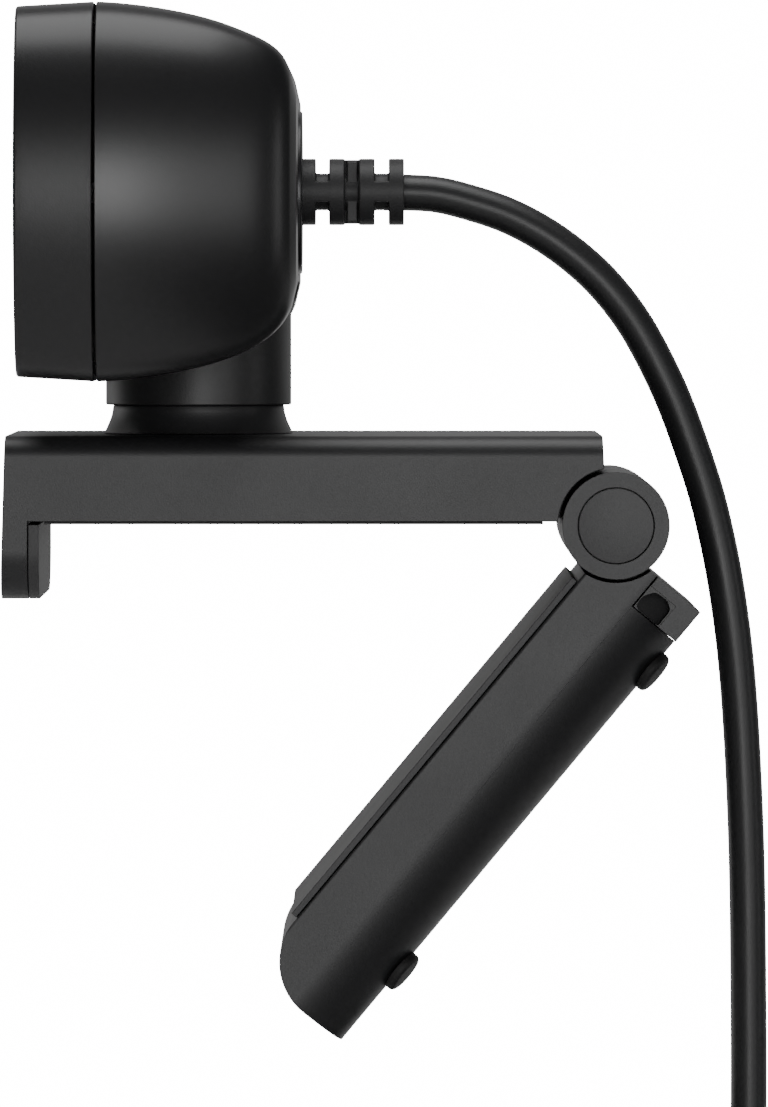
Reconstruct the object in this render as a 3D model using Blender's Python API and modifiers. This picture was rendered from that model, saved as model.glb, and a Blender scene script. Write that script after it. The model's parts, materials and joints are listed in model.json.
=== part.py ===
"""Webcam with a folding monitor clip.

Metres, +Z up, lens towards -Y. The origin is on the rubber pad under the clip's arm, below the
neck's turning axis, so the monitor's top edge is at Z = 0.
"""
import math

import bmesh
import bpy
from mathutils import Matrix, Vector

# ---------------------------------------------------------------- driving dimensions
GAP = 0.0003
MERGE = 0.00001

CLIP_HALF_WIDTH = 0.020
ARM_FRONT = -0.0217
ARM_REAR = 0.0464
ARM_TOP = 0.0100
ARM_UNDERSIDE = 0.00025
ARM_ROOF = 0.0079
ARM_CAVITY_HALF = 0.0182
ARM_CAVITY_FRONT = -0.0175
ARM_CAVITY_REAR = 0.0399
LIP_BOTTOM = -0.0087
LIP_FOOT = -0.02224
LIP_REAR = -0.0191
LIP_PAD_FACE = -0.01783
LIP_CORNER = 0.0056
ARM_EDGE = 0.0025

HINGE_Y = 0.04789
HINGE_Z = -0.00022
KNUCKLE_RADIUS = 0.00613
KNUCKLE_CLEARANCE = 0.0065
ARM_KNUCKLE_HALF = 0.0072
OUTER_KNUCKLE_START = 0.0083
PIN_RADIUS = 0.0015
PIN_BORE = 0.0018
CAP_RADIUS = 0.00417
CAP_RECESS = 0.0012

LEG_REST_ANGLE = math.radians(50.16)
LEG_LENGTH = 0.06543
LEG_FRONT = -0.0007
LEG_BACK = -0.0139
LEG_TIP_RADIUS = 0.0074
LEG_EDGE_RADIUS = 0.0076
LEG_PAD_FACE = 0.0001
LEG_PAD_START = -0.0077
LEG_PAD_END = -0.0576
HEEL_TOP = -0.0014
HEEL_STEP = -0.0027
HEEL_FOOT = -0.0058
HEEL_FRONT = -0.0074
HEEL_MIDDLE = -0.0111
HEEL_BACK = -0.0137
BRACKET_HALF = 0.0118
TONGUE_LOW = -0.0070
TONGUE_HIGH = -0.0045
FOOT_RADIUS = 0.0025
FOOT_PROUD = 0.0010
FOOT_TILT = math.radians(13)
FOOT_ALONG = (0.0102, 0.0549)

STEM_RADIUS = 0.01075
STEM_BOTTOM = 0.0133
STEM_TOP = 0.0246
STEM_INNER = 0.0084
POST_RADIUS = 0.0040
POST_BOTTOM = 0.0070
POST_BORE = 0.0044
TILT_AXIS_Z = 0.0310
LUG_HALF = 0.0035
LUG_RADIUS = 0.0040

HEAD_Z = 0.0377
HEAD_HALF_STRAIGHT = 0.0285
HEAD_END_DEPTH = 0.0105
HEAD_WALL = 0.0017
CROWN = 0.047
CROWN_START = 0.0045
CROWN_RUN = 0.0055
SEAM_Y = -0.01105
SEAM_HALF_HEIGHT = 0.0214
RIM_Y = -0.0200
RIM_HALF_HEIGHT = 0.0209
WINDOW_HALF_HEIGHT = 0.0190
REAR_DEPTH = 0.0227
REAR_FACE_Y = 0.0116
REAR_FACE_HALF_HEIGHT = 0.0103
NECK_SLOT_FRONT = -0.0142
NECK_SLOT_TOP = 0.0276
NECK_SLOT_HALF = 0.0116

BOARD_FRONT = -0.0064
BOARD_BACK = -0.0052
BOARD_HALF_WIDTH = 0.0250
BOARD_LOW = 0.0295
BOARD_HIGH = 0.0510
SCREW_SHANK = 0.00075
SCREW_HOLE = 0.0011
SCREW_BOSS = 0.0022
SCREW_HEAD = 0.0019

CORD_Z = 0.03785
CORD_RADIUS = 0.0021
RELIEF_RADIUS = 0.00375
RELIEF_END = 0.0237
COIL_RADIUS = 0.023
COIL_BUNDLE = 0.0079
COIL_Y = 0.0349
COIL_Z = -0.1022
ENTRY_OFFSET = 0.0289
TAIL_OFFSET = 0.0316
TAIL_START_Z = -0.1142
TAIL_END_Z = -0.1400

# The hanging cord's route in the middle plane, as (Y, Z).
CORD_ROUTE = (
    (RELIEF_END + 2 * GAP, CORD_Z), (0.0277, 0.0376), (0.0317, 0.0366), (0.0358, 0.0352), (0.0400, 0.0330),
    (0.0440, 0.0301), (0.0475, 0.0267), (0.05095, 0.0220), (0.0545, 0.0151), (0.0571, 0.0083), (0.0593, 0.0012),
    (0.06123, -0.0082), (0.0626, -0.0198), (0.0635, -0.0370), (0.0638, -0.0560),
)

# ---------------------------------------------------------------- scene and collections
for old in list(bpy.data.objects):
    bpy.data.objects.remove(old, do_unlink=True)
for old in list(bpy.data.collections):
    bpy.data.collections.remove(old)

PARTS = bpy.data.collections.new("webcam_with_monitor_clip")
CUTTERS = bpy.data.collections.new("cutters")
bpy.context.scene.collection.children.link(PARTS)
bpy.context.scene.collection.children.link(CUTTERS)


def axis_empty(name, location, tilt=0.0, parent=None):
    """An empty on a joint's axis, which the joint's pieces hang on."""
    empty = bpy.data.objects.new(name, None)
    empty.empty_display_size = 0.01
    empty.location = location
    empty.rotation_euler = (tilt, 0.0, 0.0)
    PARTS.objects.link(empty)
    if parent:
        keep_place(empty, parent)
    return empty


def keep_place(obj, parent):
    """Parent obj without moving it."""
    bpy.context.view_layer.update()
    obj.parent = parent
    obj.matrix_parent_inverse = parent.matrix_world.inverted()


NECK = axis_empty("neck_axis", (0.0, 0.0, 0.0))
HEAD = axis_empty("head_axis", (0.0, 0.0, TILT_AXIS_Z), parent=NECK)
LEG = axis_empty("leg_axis", (0.0, HINGE_Y, HINGE_Z), LEG_REST_ANGLE)


# ---------------------------------------------------------------- materials
def make_material(name, colour, roughness, metallic=0.0):
    material = bpy.data.materials.new(name)
    material.use_nodes = True
    shader = material.node_tree.nodes["Principled BSDF"]
    shader.inputs["Base Color"].default_value = (*colour, 1.0)
    shader.inputs["Roughness"].default_value = roughness
    shader.inputs["Metallic"].default_value = metallic
    return material


SHELL_FINISH = ((0.035, 0.035, 0.036), 0.42, 0.0)
RUBBER_FINISH = ((0.020, 0.020, 0.021), 0.75, 0.0)
STEEL_FINISH = ((0.62, 0.62, 0.63), 0.30, 1.0)
BOARD_FINISH = ((0.02, 0.16, 0.07), 0.45, 0.0)
CHIP_FINISH = ((0.03, 0.03, 0.03), 0.55, 0.0)
GLASS_FINISH = ((0.010, 0.010, 0.012), 0.08, 0.0)
LENS_FINISH = ((0.10, 0.12, 0.18), 0.05, 0.0)
CLEAR_FINISH = ((0.85, 0.86, 0.88), 0.20, 0.0)
IVORY_FINISH = ((0.80, 0.77, 0.68), 0.50, 0.0)


# ---------------------------------------------------------------- modelling helpers
def mesh_object(name, bm):
    mesh = bpy.data.meshes.new(name)
    bm.to_mesh(mesh)
    bm.free()
    obj = bpy.data.objects.new(name, mesh)
    PARTS.objects.link(obj)
    return obj


def box(name, low, high):
    """A box from its lowest to its highest corner."""
    low = Vector(low)
    high = Vector(high)
    place = Matrix.Translation((low + high) / 2) @ Matrix.Diagonal((*(high - low), 1.0))
    bm = bmesh.new()
    bmesh.ops.create_cube(bm, size=1.0, matrix=place)
    return mesh_object(name, bm)


def rod(name, start, end, radius, end_radius=None, sides=32):
    """A cylinder or a cone from start to end."""
    start = Vector(start)
    run = Vector(end) - start
    turn = run.to_track_quat("Z", "Y").to_matrix().to_4x4()
    place = Matrix.Translation(start + run / 2) @ turn
    bm = bmesh.new()
    bmesh.ops.create_cone(
        bm, cap_ends=True, segments=sides, radius1=radius,
        radius2=radius if end_radius is None else end_radius, depth=run.length, matrix=place,
    )
    return mesh_object(name, bm)


def turned(name, profile, forward=None, sides=32):
    """A profile of (radius, height), outer side first and downwards, turned about Z.

    With forward = (x, z), the turning axis lies along -Y through that point, and heights
    count forwards from Y = 0.
    """
    bm = bmesh.new()
    points = [bm.verts.new((radius, 0.0, height)) for radius, height in profile]
    pairs = list(zip(points, points[1:]))
    if min(profile[0][0], profile[-1][0]) > MERGE:
        pairs.append((points[-1], points[0]))
    for pair in pairs:
        bm.edges.new(pair)
    obj = mesh_object(name, bm)
    screw = obj.modifiers.new("turn", "SCREW")
    screw.steps = sides
    screw.render_steps = sides
    screw.use_merge_vertices = True
    screw.merge_threshold = MERGE
    screw.use_smooth_shade = True
    if forward:
        obj.location = (forward[0], 0.0, forward[1])
        obj.rotation_euler = (math.radians(90), 0.0, 0.0)
    return obj


def ring_profile(outer, inner, low, high):
    return [(outer, high), (outer, low), (inner, low), (inner, high)]


def plate(name, outlines, thickness, plane_x=False):
    """Flat closed outlines, extruded: in the YZ plane about X = 0, or else in the XZ plane."""
    curve = bpy.data.curves.new(name, "CURVE")
    curve.dimensions = "2D"
    curve.fill_mode = "BOTH"
    curve.extrude = thickness / 2
    for outline in outlines:
        spline = curve.splines.new("POLY")
        spline.points.add(len(outline) - 1)
        for point, (a, b) in zip(spline.points, outline):
            point.co = (a, b, 0.0, 1.0)
        spline.use_cyclic_u = True
    obj = bpy.data.objects.new(name, curve)
    PARTS.objects.link(obj)
    if plane_x:
        obj.matrix_world = Matrix(((0, 0, 1, 0), (1, 0, 0, 0), (0, 1, 0, 0), (0, 0, 0, 1)))
    else:
        obj.rotation_euler = (math.radians(90), 0.0, 0.0)
    return solid_mesh(obj)


def solid_mesh(curve_object):
    """Replace a curve object by its welded mesh, in place."""
    bpy.context.view_layer.update()
    graph = bpy.context.evaluated_depsgraph_get()
    mesh = bpy.data.meshes.new_from_object(curve_object.evaluated_get(graph))
    place = curve_object.matrix_world.copy()
    name = curve_object.name
    curve = curve_object.data
    bpy.data.objects.remove(curve_object)
    bpy.data.curves.remove(curve)
    mesh.transform(place)
    bm = bmesh.new()
    bm.from_mesh(mesh)
    bpy.data.meshes.remove(mesh)
    bmesh.ops.remove_doubles(bm, verts=bm.verts, dist=MERGE)
    bmesh.ops.recalc_face_normals(bm, faces=bm.faces)
    return mesh_object(name, bm)


def boolean(obj, tool, operation):
    modifier = obj.modifiers.new(operation.lower(), "BOOLEAN")
    modifier.operation = operation
    modifier.object = tool
    tool.name = f"{obj.name}_{operation.lower()}_{len(obj.modifiers)}"
    tool.hide_render = True
    tool.display_type = "WIRE"
    PARTS.objects.unlink(tool)
    CUTTERS.objects.link(tool)


def cut(obj, *tools):
    for tool in tools:
        boolean(obj, tool, "DIFFERENCE")


def add(obj, *tools):
    for tool in tools:
        boolean(obj, tool, "UNION")


def keep_inside(obj, *tools):
    for tool in tools:
        boolean(obj, tool, "INTERSECT")


def round_edges(obj, width, segments=3, chosen=None):
    """Bevel the mesh's edges, all of them or those whose two ends pass the chosen test."""
    bm = bmesh.new()
    bm.from_mesh(obj.data)
    edges = [
        edge for edge in bm.edges
        if edge.is_manifold and edge.calc_face_angle() > math.radians(30)
        and (chosen is None or all(chosen(end.co) for end in edge.verts))
    ]
    bmesh.ops.bevel(
        bm, geom=edges, offset=width, segments=segments, profile=0.5, affect="EDGES", clamp_overlap=True,
    )
    bm.to_mesh(obj.data)
    bm.free()


def bake(obj):
    """Turn the modifiers' result into the object's own mesh, and drop their tools."""
    bpy.context.view_layer.update()
    graph = bpy.context.evaluated_depsgraph_get()
    mesh = bpy.data.meshes.new_from_object(obj.evaluated_get(graph))
    tools = [m.object for m in obj.modifiers if m.type == "BOOLEAN"]
    obj.modifiers.clear()
    obj.data = mesh
    for tool in tools:
        bpy.data.objects.remove(tool)


def finish(obj, look, parent=None, local=False):
    """Give a sub-part its material, smooth shading and parent."""
    obj.data.materials.append(make_material(obj.name, *look))
    obj.data.shade_smooth()
    obj.data.set_sharp_from_angle(angle=math.radians(32))
    if parent is None:
        return
    tools = [m.object for m in obj.modifiers if m.type == "BOOLEAN"]
    for piece in [obj, *tools]:
        if local:
            piece.parent = parent
        else:
            keep_place(piece, parent)


def arc(centre, radius, start, stop, steps):
    """Points on an arc, angles in degrees."""
    points = []
    for step in range(steps + 1):
        angle = math.radians(start + (stop - start) * step / steps)
        points.append((centre[0] + radius * math.cos(angle), centre[1] + radius * math.sin(angle)))
    return points


def make_screw(name, place, direction, length, parent=None, local=False, head_depth=0.0010):
    """A pan-head screw; place is the head's outer centre."""
    screw = turned(name, [(0, length), (SCREW_SHANK, length), (SCREW_SHANK, head_depth), (SCREW_HEAD, head_depth),
                          (SCREW_HEAD, 0), (0, 0)], sides=16)
    screw.location = place
    screw.rotation_euler = Vector(direction).to_track_quat("Z", "Y").to_euler()
    finish(screw, STEEL_FINISH, parent, local)


def lens_pin(name, profile, place, look):
    """A small turned piece on the board, its axis forwards, riding in the head."""
    obj = turned(name, profile, forward=place, sides=24)
    finish(obj, look, HEAD)
    return obj


# ---------------------------------------------------------------- clip arm
def make_arm_shell():
    rear_arc = arc((HINGE_Y, HINGE_Z), KNUCKLE_RADIUS + 0.0005, 176, 101.7, 12)
    outline = [
        (ARM_FRONT, ARM_TOP), (LIP_FOOT, LIP_BOTTOM), (LIP_REAR, LIP_BOTTOM), (LIP_REAR, ARM_UNDERSIDE),
        (rear_arc[0][0], ARM_UNDERSIDE), *rear_arc, (ARM_REAR, ARM_TOP),
    ]
    arm = plate("arm_shell", [outline], 2 * CLIP_HALF_WIDTH + 0.002, plane_x=True)
    keep_inside(arm, section("front_outline", CLIP_HALF_WIDTH, LIP_BOTTOM, ARM_TOP, LIP_CORNER, ARM_EDGE, -0.03, 0.06))
    add(
        arm,
        rod("knuckle", (-ARM_KNUCKLE_HALF, HINGE_Y, HINGE_Z), (ARM_KNUCKLE_HALF, HINGE_Y, HINGE_Z),
            KNUCKLE_RADIUS, sides=48),
        box("web", (-0.007, 0.0405, ARM_UNDERSIDE + 0.0001), (0.007, ARM_REAR - 0.0002, 0.0082)),
    )
    cut(
        arm,
        box("cavity", (-ARM_CAVITY_HALF, ARM_CAVITY_FRONT, -0.002), (ARM_CAVITY_HALF, ARM_CAVITY_REAR, ARM_ROOF)),
        rod("post_hole", (0, 0, ARM_ROOF - 0.002), (0, 0, ARM_TOP + 0.002), POST_BORE, sides=32),
        rod("pin_hole", (-0.012, HINGE_Y, HINGE_Z), (0.012, HINGE_Y, HINGE_Z), PIN_BORE, sides=24),
    )
    for y in COVER_SCREW_Y:
        add(arm, rod("boss", (0, y, 0.0031), (0, y, ARM_ROOF + 0.0006), SCREW_BOSS, sides=20))
        cut(arm, rod("boss_hole", (0, y, 0.002), (0, y, ARM_ROOF - 0.0006), SCREW_HOLE, sides=16))
    bake(arm)
    finish(arm, SHELL_FINISH)


COVER_SCREW_Y = (-0.0125, 0.031)
COVER_LOW = 0.0015
COVER_HIGH = 0.0028


def make_arm_underside():
    inset = GAP
    low = (-ARM_CAVITY_HALF + inset, ARM_CAVITY_FRONT + inset)
    high = (ARM_CAVITY_HALF - inset, ARM_CAVITY_REAR - inset)
    cover = box("underside_cover", (*low, COVER_LOW), (*high, COVER_HIGH))
    for y in COVER_SCREW_Y:
        cut(
            cover,
            rod("screw_hole", (0, y, 0), (0, y, 0.004), SCREW_HOLE, sides=16),
            rod("head_recess", (0, y, 0), (0, y, COVER_LOW + 0.0006), SCREW_HEAD + GAP, sides=24),
        )
    finish(cover, SHELL_FINISH)
    pad = box("underside_pad", (*low, 0.0), (*high, COVER_LOW - 2 * GAP))
    round_edges(pad, 0.0003, 1)
    finish(pad, RUBBER_FINISH)
    for end, y in zip(("front", "rear"), COVER_SCREW_Y):
        make_screw(f"cover_screw_{end}", (0, y, COVER_LOW - GAP), (0, 0, 1), 0.0055, head_depth=0.0006)
    lip_pad = section("lip_pad", CLIP_HALF_WIDTH - GAP, LIP_BOTTOM, -GAP, LIP_CORNER - GAP, 0.0003,
                      LIP_REAR + GAP, LIP_PAD_FACE)
    finish(lip_pad, RUBBER_FINISH)


# ---------------------------------------------------------------- neck
def make_swivel():
    low = ARM_TOP + GAP
    base = turned("swivel_base", [(0.00992, STEM_BOTTOM - GAP), (0.01092, low), (POST_BORE, low),
                                  (POST_BORE, STEM_BOTTOM - GAP)], sides=48)
    finish(base, SHELL_FINISH)
    stem = turned("stem", [
        (STEM_INNER, STEM_TOP), (STEM_RADIUS - 0.0004, STEM_TOP), (STEM_RADIUS, STEM_TOP - 0.0004),
        (STEM_RADIUS, STEM_BOTTOM + 0.0002), (STEM_RADIUS - 0.0002, STEM_BOTTOM), (POST_RADIUS, STEM_BOTTOM),
        (POST_RADIUS, POST_BOTTOM), (PIN_BORE, POST_BOTTOM), (PIN_BORE, 0.0160), (STEM_INNER, 0.0160),
    ], sides=48)
    finish(stem, SHELL_FINISH, NECK)
    knuckle = rod("tilt_knuckle", (0, 0, 0.0220), (0, 0, STEM_TOP), STEM_INNER - GAP, sides=48)
    add(
        knuckle,
        box("lug_foot", (-LUG_HALF, -LUG_RADIUS, 0.0240), (LUG_HALF, LUG_RADIUS, TILT_AXIS_Z)),
        rod("lug", (-LUG_HALF, 0, TILT_AXIS_Z), (LUG_HALF, 0, TILT_AXIS_Z), LUG_RADIUS, sides=32),
    )
    cut(knuckle, rod("pin_hole", (-0.01, 0, TILT_AXIS_Z), (0.01, 0, TILT_AXIS_Z), PIN_BORE, sides=20))
    finish(knuckle, SHELL_FINISH, NECK)
    spring = turned("swivel_spring", ring_profile(0.0073, 0.0048, 0.0070, 0.0076))
    finish(spring, STEEL_FINISH, NECK)
    washer = turned("swivel_washer", ring_profile(0.0075, 0.0020, 0.0056, 0.0067))
    finish(washer, STEEL_FINISH, NECK)
    screw = turned("swivel_screw", [(0, 0.0145), (0.0015, 0.0145), (0.0015, 0.0053), (0.0045, 0.0053),
                                    (0.0045, 0.0040), (0, 0.0040)], sides=24)
    finish(screw, STEEL_FINISH, NECK)


# ---------------------------------------------------------------- head casings
def end_reach(x, z):
    """How far the head's squashed end reaches past its straight part, for a point of a round end."""
    radius = math.hypot(x, z)
    if radius < MERGE:
        return 0.0
    return x / radius * HEAD_END_DEPTH * (radius / SEAM_HALF_HEIGHT) ** 2


def pill_shell(name, profile, thickness, crown=0.0, steps=12):
    """A casing from its (Y, half height) profile.

    The profile is swept round the head's squashed end and carried straight to the middle
    plane; a mirror makes the other half and Solidify the wall. The crown raises the upper
    half near the rear, as a share of its height.
    """
    bm = bmesh.new()
    points = [bm.verts.new((0.0, y, half)) for y, half in profile]
    edges = [bm.edges.new(pair) for pair in zip(points, points[1:])]
    bmesh.ops.spin(bm, geom=points + edges, axis=(0, 1, 0), cent=(0, 0, 0), angle=math.pi, steps=steps)
    bmesh.ops.remove_doubles(bm, verts=bm.verts, dist=MERGE)
    open_edges = [edge for edge in bm.edges if all(abs(end.co.x) < MERGE for end in edge.verts)]
    for vert in bm.verts:
        vert.co.x = HEAD_HALF_STRAIGHT + end_reach(vert.co.x, vert.co.z)
        if vert.co.z > 0:
            vert.co.z *= 1 + crown * min(max((vert.co.y - CROWN_START) / CROWN_RUN, 0.0), 1.0) ** 2
    middle = bmesh.ops.extrude_edge_only(bm, edges=open_edges)["geom"]
    for vert in (item for item in middle if isinstance(item, bmesh.types.BMVert)):
        vert.co.x = 0.0
    bmesh.ops.recalc_face_normals(bm, faces=bm.faces)
    outwards = sum(face.normal.z * face.calc_center_median().z for face in bm.faces)
    if outwards < 0:
        bmesh.ops.reverse_faces(bm, faces=bm.faces)
    bmesh.ops.translate(bm, verts=bm.verts, vec=(0, 0, HEAD_Z))
    shell = mesh_object(name, bm)
    mirror = shell.modifiers.new("mirror", "MIRROR")
    mirror.merge_threshold = MERGE
    wall = shell.modifiers.new("wall", "SOLIDIFY")
    wall.thickness = thickness
    wall.offset = -1.0
    wall.use_even_offset = True
    bake(shell)
    return shell


def pill_outline(half_height, steps=12):
    """The head's outline, shrunk to a half height, as (X, Z)."""
    right = []
    for x, z in arc((0.0, 0.0), half_height, 90, -90, steps):
        right.append((HEAD_HALF_STRAIGHT + end_reach(x, z), HEAD_Z + z))
    left = [(-x, z) for x, z in reversed(right)]
    return right + left


def section(name, half_width, low, high, low_radius, high_radius, start, stop):
    """A prism along Y whose section is a box with rounded lower and upper corners."""
    right = half_width - low_radius
    top = half_width - high_radius
    outline = [
        *arc((right, low + low_radius), low_radius, -90, 0, 7), *arc((top, high - high_radius), high_radius, 0, 90, 5),
        *arc((-top, high - high_radius), high_radius, 90, 180, 5),
        *arc((-right, low + low_radius), low_radius, 180, 270, 7),
    ]
    prism = plate(name, [outline], stop - start)
    prism.data.transform(Matrix.Translation((0, (start + stop) / 2, 0)))
    return prism


def circle_outline(x, z, radius, steps=24):
    return arc((x, z), radius, 0, 360 - 360 / steps, steps - 1)


def neck_slot():
    slot = box("neck_slot", (-NECK_SLOT_HALF, NECK_SLOT_FRONT, 0.010), (NECK_SLOT_HALF, 0.016, NECK_SLOT_TOP))
    round_edges(slot, 0.003, 3, lambda p: p.z > NECK_SLOT_TOP - MERGE)
    return slot


def make_bezel():
    bezel = pill_shell("bezel", [
        (RIM_Y, WINDOW_HALF_HEIGHT), (RIM_Y, RIM_HALF_HEIGHT - 0.0003), (RIM_Y + 0.0003, RIM_HALF_HEIGHT),
        (SEAM_Y - GAP / 2, SEAM_HALF_HEIGHT),
    ], HEAD_WALL)
    cut(bezel, neck_slot())
    bake(bezel)
    finish(bezel, SHELL_FINISH, HEAD)


def rear_profile():
    """The rear casing rounds from the seam to its flat rear face."""
    points = []
    steps = 9
    for step in range(steps + 1):
        angle = math.radians(76.5) * step / steps
        half = SEAM_HALF_HEIGHT * math.cos(angle) ** (2 / 5.8)
        y = SEAM_Y + GAP / 2 + REAR_DEPTH * math.sin(angle) ** (2 / 1.5)
        points.append((min(y, REAR_FACE_Y - 0.0001), half))
    return points + [(REAR_FACE_Y, REAR_FACE_HALF_HEIGHT), (REAR_FACE_Y, 0.0)]


BOARD_SCREWS = ((-0.0222, 0.0322), (0.0222, 0.0483))
BRACKET_SCREW_X = (-0.0105, 0.0105)
PLATE_RADIUS = 0.0094


def make_rear_shell():
    shell = pill_shell("rear_shell", rear_profile(), HEAD_WALL, CROWN)
    for x, z in BOARD_SCREWS:
        add(shell, rod("boss", (x, BOARD_BACK + GAP, z), (x, REAR_FACE_Y - 0.0008, z), SCREW_BOSS, sides=16))
        cut(shell, rod("boss_hole", (x, BOARD_BACK - 0.001, z), (x, 0.002, z), SCREW_HOLE, sides=12))
    for x in BRACKET_SCREW_X:
        add(shell, rod("boss", (x, 0.0091, TILT_AXIS_Z), (x, REAR_FACE_Y - 0.0005, TILT_AXIS_Z), SCREW_BOSS, sides=16))
        cut(shell, rod("boss_hole", (x, 0.008, TILT_AXIS_Z), (x, 0.0108, TILT_AXIS_Z), SCREW_HOLE, sides=12))
    cut(
        shell,
        neck_slot(),
        rod("plate_recess", (0, REAR_FACE_Y - 0.0009, CORD_Z), (0, 0.014, CORD_Z), PLATE_RADIUS + GAP, sides=48),
        rod("cord_hole", (0, 0.005, CORD_Z), (0, 0.014, CORD_Z), 0.0026, sides=24),
    )
    bake(shell)
    finish(shell, SHELL_FINISH, HEAD)
    rear_plate = turned("rear_plate", [
        (PLATE_RADIUS - 0.0003, -0.0110), (PLATE_RADIUS, -0.0110), (PLATE_RADIUS, -0.01184),
        (PLATE_RADIUS - 0.0002, -0.01204), (0.0026, -0.01204), (0.0026, -0.0110),
    ], forward=(0, CORD_Z), sides=40)
    finish(rear_plate, SHELL_FINISH, HEAD)


def make_strain_relief():
    """A core with four collars, joined by webs at the sides, then top and bottom, then the sides."""
    axis = Vector((0, 0, CORD_Z))
    core = rod("strain_relief", axis + Vector((0, 0.0080, 0)), axis + Vector((0, RELIEF_END, 0)), 0.00205, sides=20)
    for start, stop, radius in (
        (0.0080, 0.0092, 0.0034), (0.01234, 0.0135, RELIEF_RADIUS), (0.0153, 0.0169, RELIEF_RADIUS),
        (0.0187, 0.0203, RELIEF_RADIUS), (0.0221, RELIEF_END, RELIEF_RADIUS),
    ):
        add(core, rod("collar", axis + Vector((0, start, 0)), axis + Vector((0, stop, 0)), radius, sides=24))
    web = RELIEF_RADIUS - 0.00025
    for start, stop, half_x, half_z in (
        (0.0133, 0.0155, web, 0.00115), (0.0171, 0.0184, 0.00115, web), (0.0201, 0.0223, web, 0.00115),
    ):
        add(core, box("web", (-half_x, start, CORD_Z - half_z), (half_x, stop, CORD_Z + half_z)))
    bake(core)
    finish(core, RUBBER_FINISH, HEAD)


# ---------------------------------------------------------------- head inside
LENS_HOLE = 0.0076
LED_X = 0.0150
MIC_X = 0.0200
MIC_Z = 0.0440


def make_front_glass():
    half = WINDOW_HALF_HEIGHT - 2 * GAP
    holes = [circle_outline(0, HEAD_Z, LENS_HOLE, 40)]
    holes += [circle_outline(x, MIC_Z, 0.0006, 12) for x in (-MIC_X, MIC_X)]
    glass = plate("front_glass", [pill_outline(half), *holes], 0.0014)
    glass.data.transform(Matrix.Translation((0, RIM_Y + 0.00025 + 0.0007, 0)))
    finish(glass, GLASS_FINISH, HEAD)


def make_lens():
    centre = (0, HEAD_Z)
    lens_pin("lens_ring", [(0.0070, 0.0199), (0.0073, 0.0196), (0.0073, 0.0176), (0.0038, 0.0176), (0.0038, 0.0182),
                           (0.0054, 0.0199)], centre, SHELL_FINISH)
    lens_pin("lens_barrel", [(0.0056, 0.0172), (0.0056, 0.0085), (0.0030, 0.0085), (0.0030, 0.0095),
                             (0.0038, 0.0095), (0.0038, 0.0172)], centre, CHIP_FINISH)
    lens_pin("lens_front_element", [(0, 0.0173), (0.0012, 0.0172), (0.0024, 0.0168), (0.0035, 0.0161),
                                    (0.0035, 0.0150), (0, 0.0150)], centre, LENS_FINISH)
    lens_pin("lens_rear_element", [(0, 0.0118), (0.0018, 0.0116), (0.0035, 0.0109), (0.0035, 0.0102),
                                   (0, 0.0102)], centre, LENS_FINISH)
    holder = box("lens_holder", (-0.0072, -0.0122, HEAD_Z - 0.0072), (0.0072, BOARD_FRONT - GAP, HEAD_Z + 0.0072))
    cut(holder, rod("barrel_bore", (0, -0.014, HEAD_Z), (0, -0.0082, HEAD_Z), 0.0059, sides=32))
    cut(holder, box("sensor_room", (-0.0042, -0.009, HEAD_Z - 0.0042), (0.0042, -0.004, HEAD_Z + 0.0042)))
    finish(holder, CHIP_FINISH, HEAD)
    finish(box("ir_filter", (-0.0032, -0.0082, HEAD_Z - 0.0032), (0.0032, -0.0078, HEAD_Z + 0.0032)), LENS_FINISH, HEAD)
    sensor = box("image_sensor", (-0.0035, -0.0075, HEAD_Z - 0.0035), (0.0035, BOARD_FRONT - GAP, HEAD_Z + 0.0035))
    finish(sensor, CHIP_FINISH, HEAD)


def make_board():
    corners = [(-BOARD_HALF_WIDTH, BOARD_LOW), (BOARD_HALF_WIDTH, BOARD_LOW), (BOARD_HALF_WIDTH, BOARD_HIGH),
               (-BOARD_HALF_WIDTH, BOARD_HIGH)]
    holes = [circle_outline(x, z, SCREW_HOLE, 12) for x, z in BOARD_SCREWS]
    board = plate("camera_board", [corners, *holes], BOARD_BACK - BOARD_FRONT)
    board.data.transform(Matrix.Translation((0, (BOARD_FRONT + BOARD_BACK) / 2, 0)))
    finish(board, BOARD_FINISH, HEAD)
    for side, (x, z) in zip(("left", "right"), BOARD_SCREWS):
        make_screw(f"board_screw_{side}", (x, BOARD_FRONT - GAP - 0.0010, z), (0, 1, 0), 0.0068, HEAD)
    back = BOARD_BACK + GAP
    finish(box("usb_controller", (0.0100, back, 0.0400), (0.0170, back + 0.0010, 0.0470)), CHIP_FINISH, HEAD)
    socket = box("board_connector", (-0.0160, back, 0.0405), (-0.0070, back + 0.0045, 0.0455))
    cut(socket, box("socket_room", (-0.0153, back + 0.0010, 0.0412), (-0.0077, back + 0.006, 0.0448)))
    finish(socket, IVORY_FINISH, HEAD)
    wire_plug = box("wire_plug", (-0.0150, back + 0.0013, 0.0415), (-0.0080, back + 0.0080, 0.0445))
    finish(wire_plug, IVORY_FINISH, HEAD)
    for side, x in (("left", -MIC_X), ("right", MIC_X)):
        lens_pin(f"microphone_{side}", [(0, 0.0090), (0.0020, 0.0090), (0.0020, 0.0067), (0, 0.0067)],
                 (x, MIC_Z), STEEL_FINISH)
    led = box("status_led", (LED_X - 0.0010, -0.0075, HEAD_Z - 0.0006), (LED_X + 0.0010, BOARD_FRONT - GAP,
                                                                       HEAD_Z + 0.0006))
    finish(led, IVORY_FINISH, HEAD)
    lens_pin("light_pipe", [(0, 0.0179), (0.0012, 0.0179), (0.0012, 0.0078), (0, 0.0078)], (LED_X, HEAD_Z),
             CLEAR_FINISH)


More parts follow.
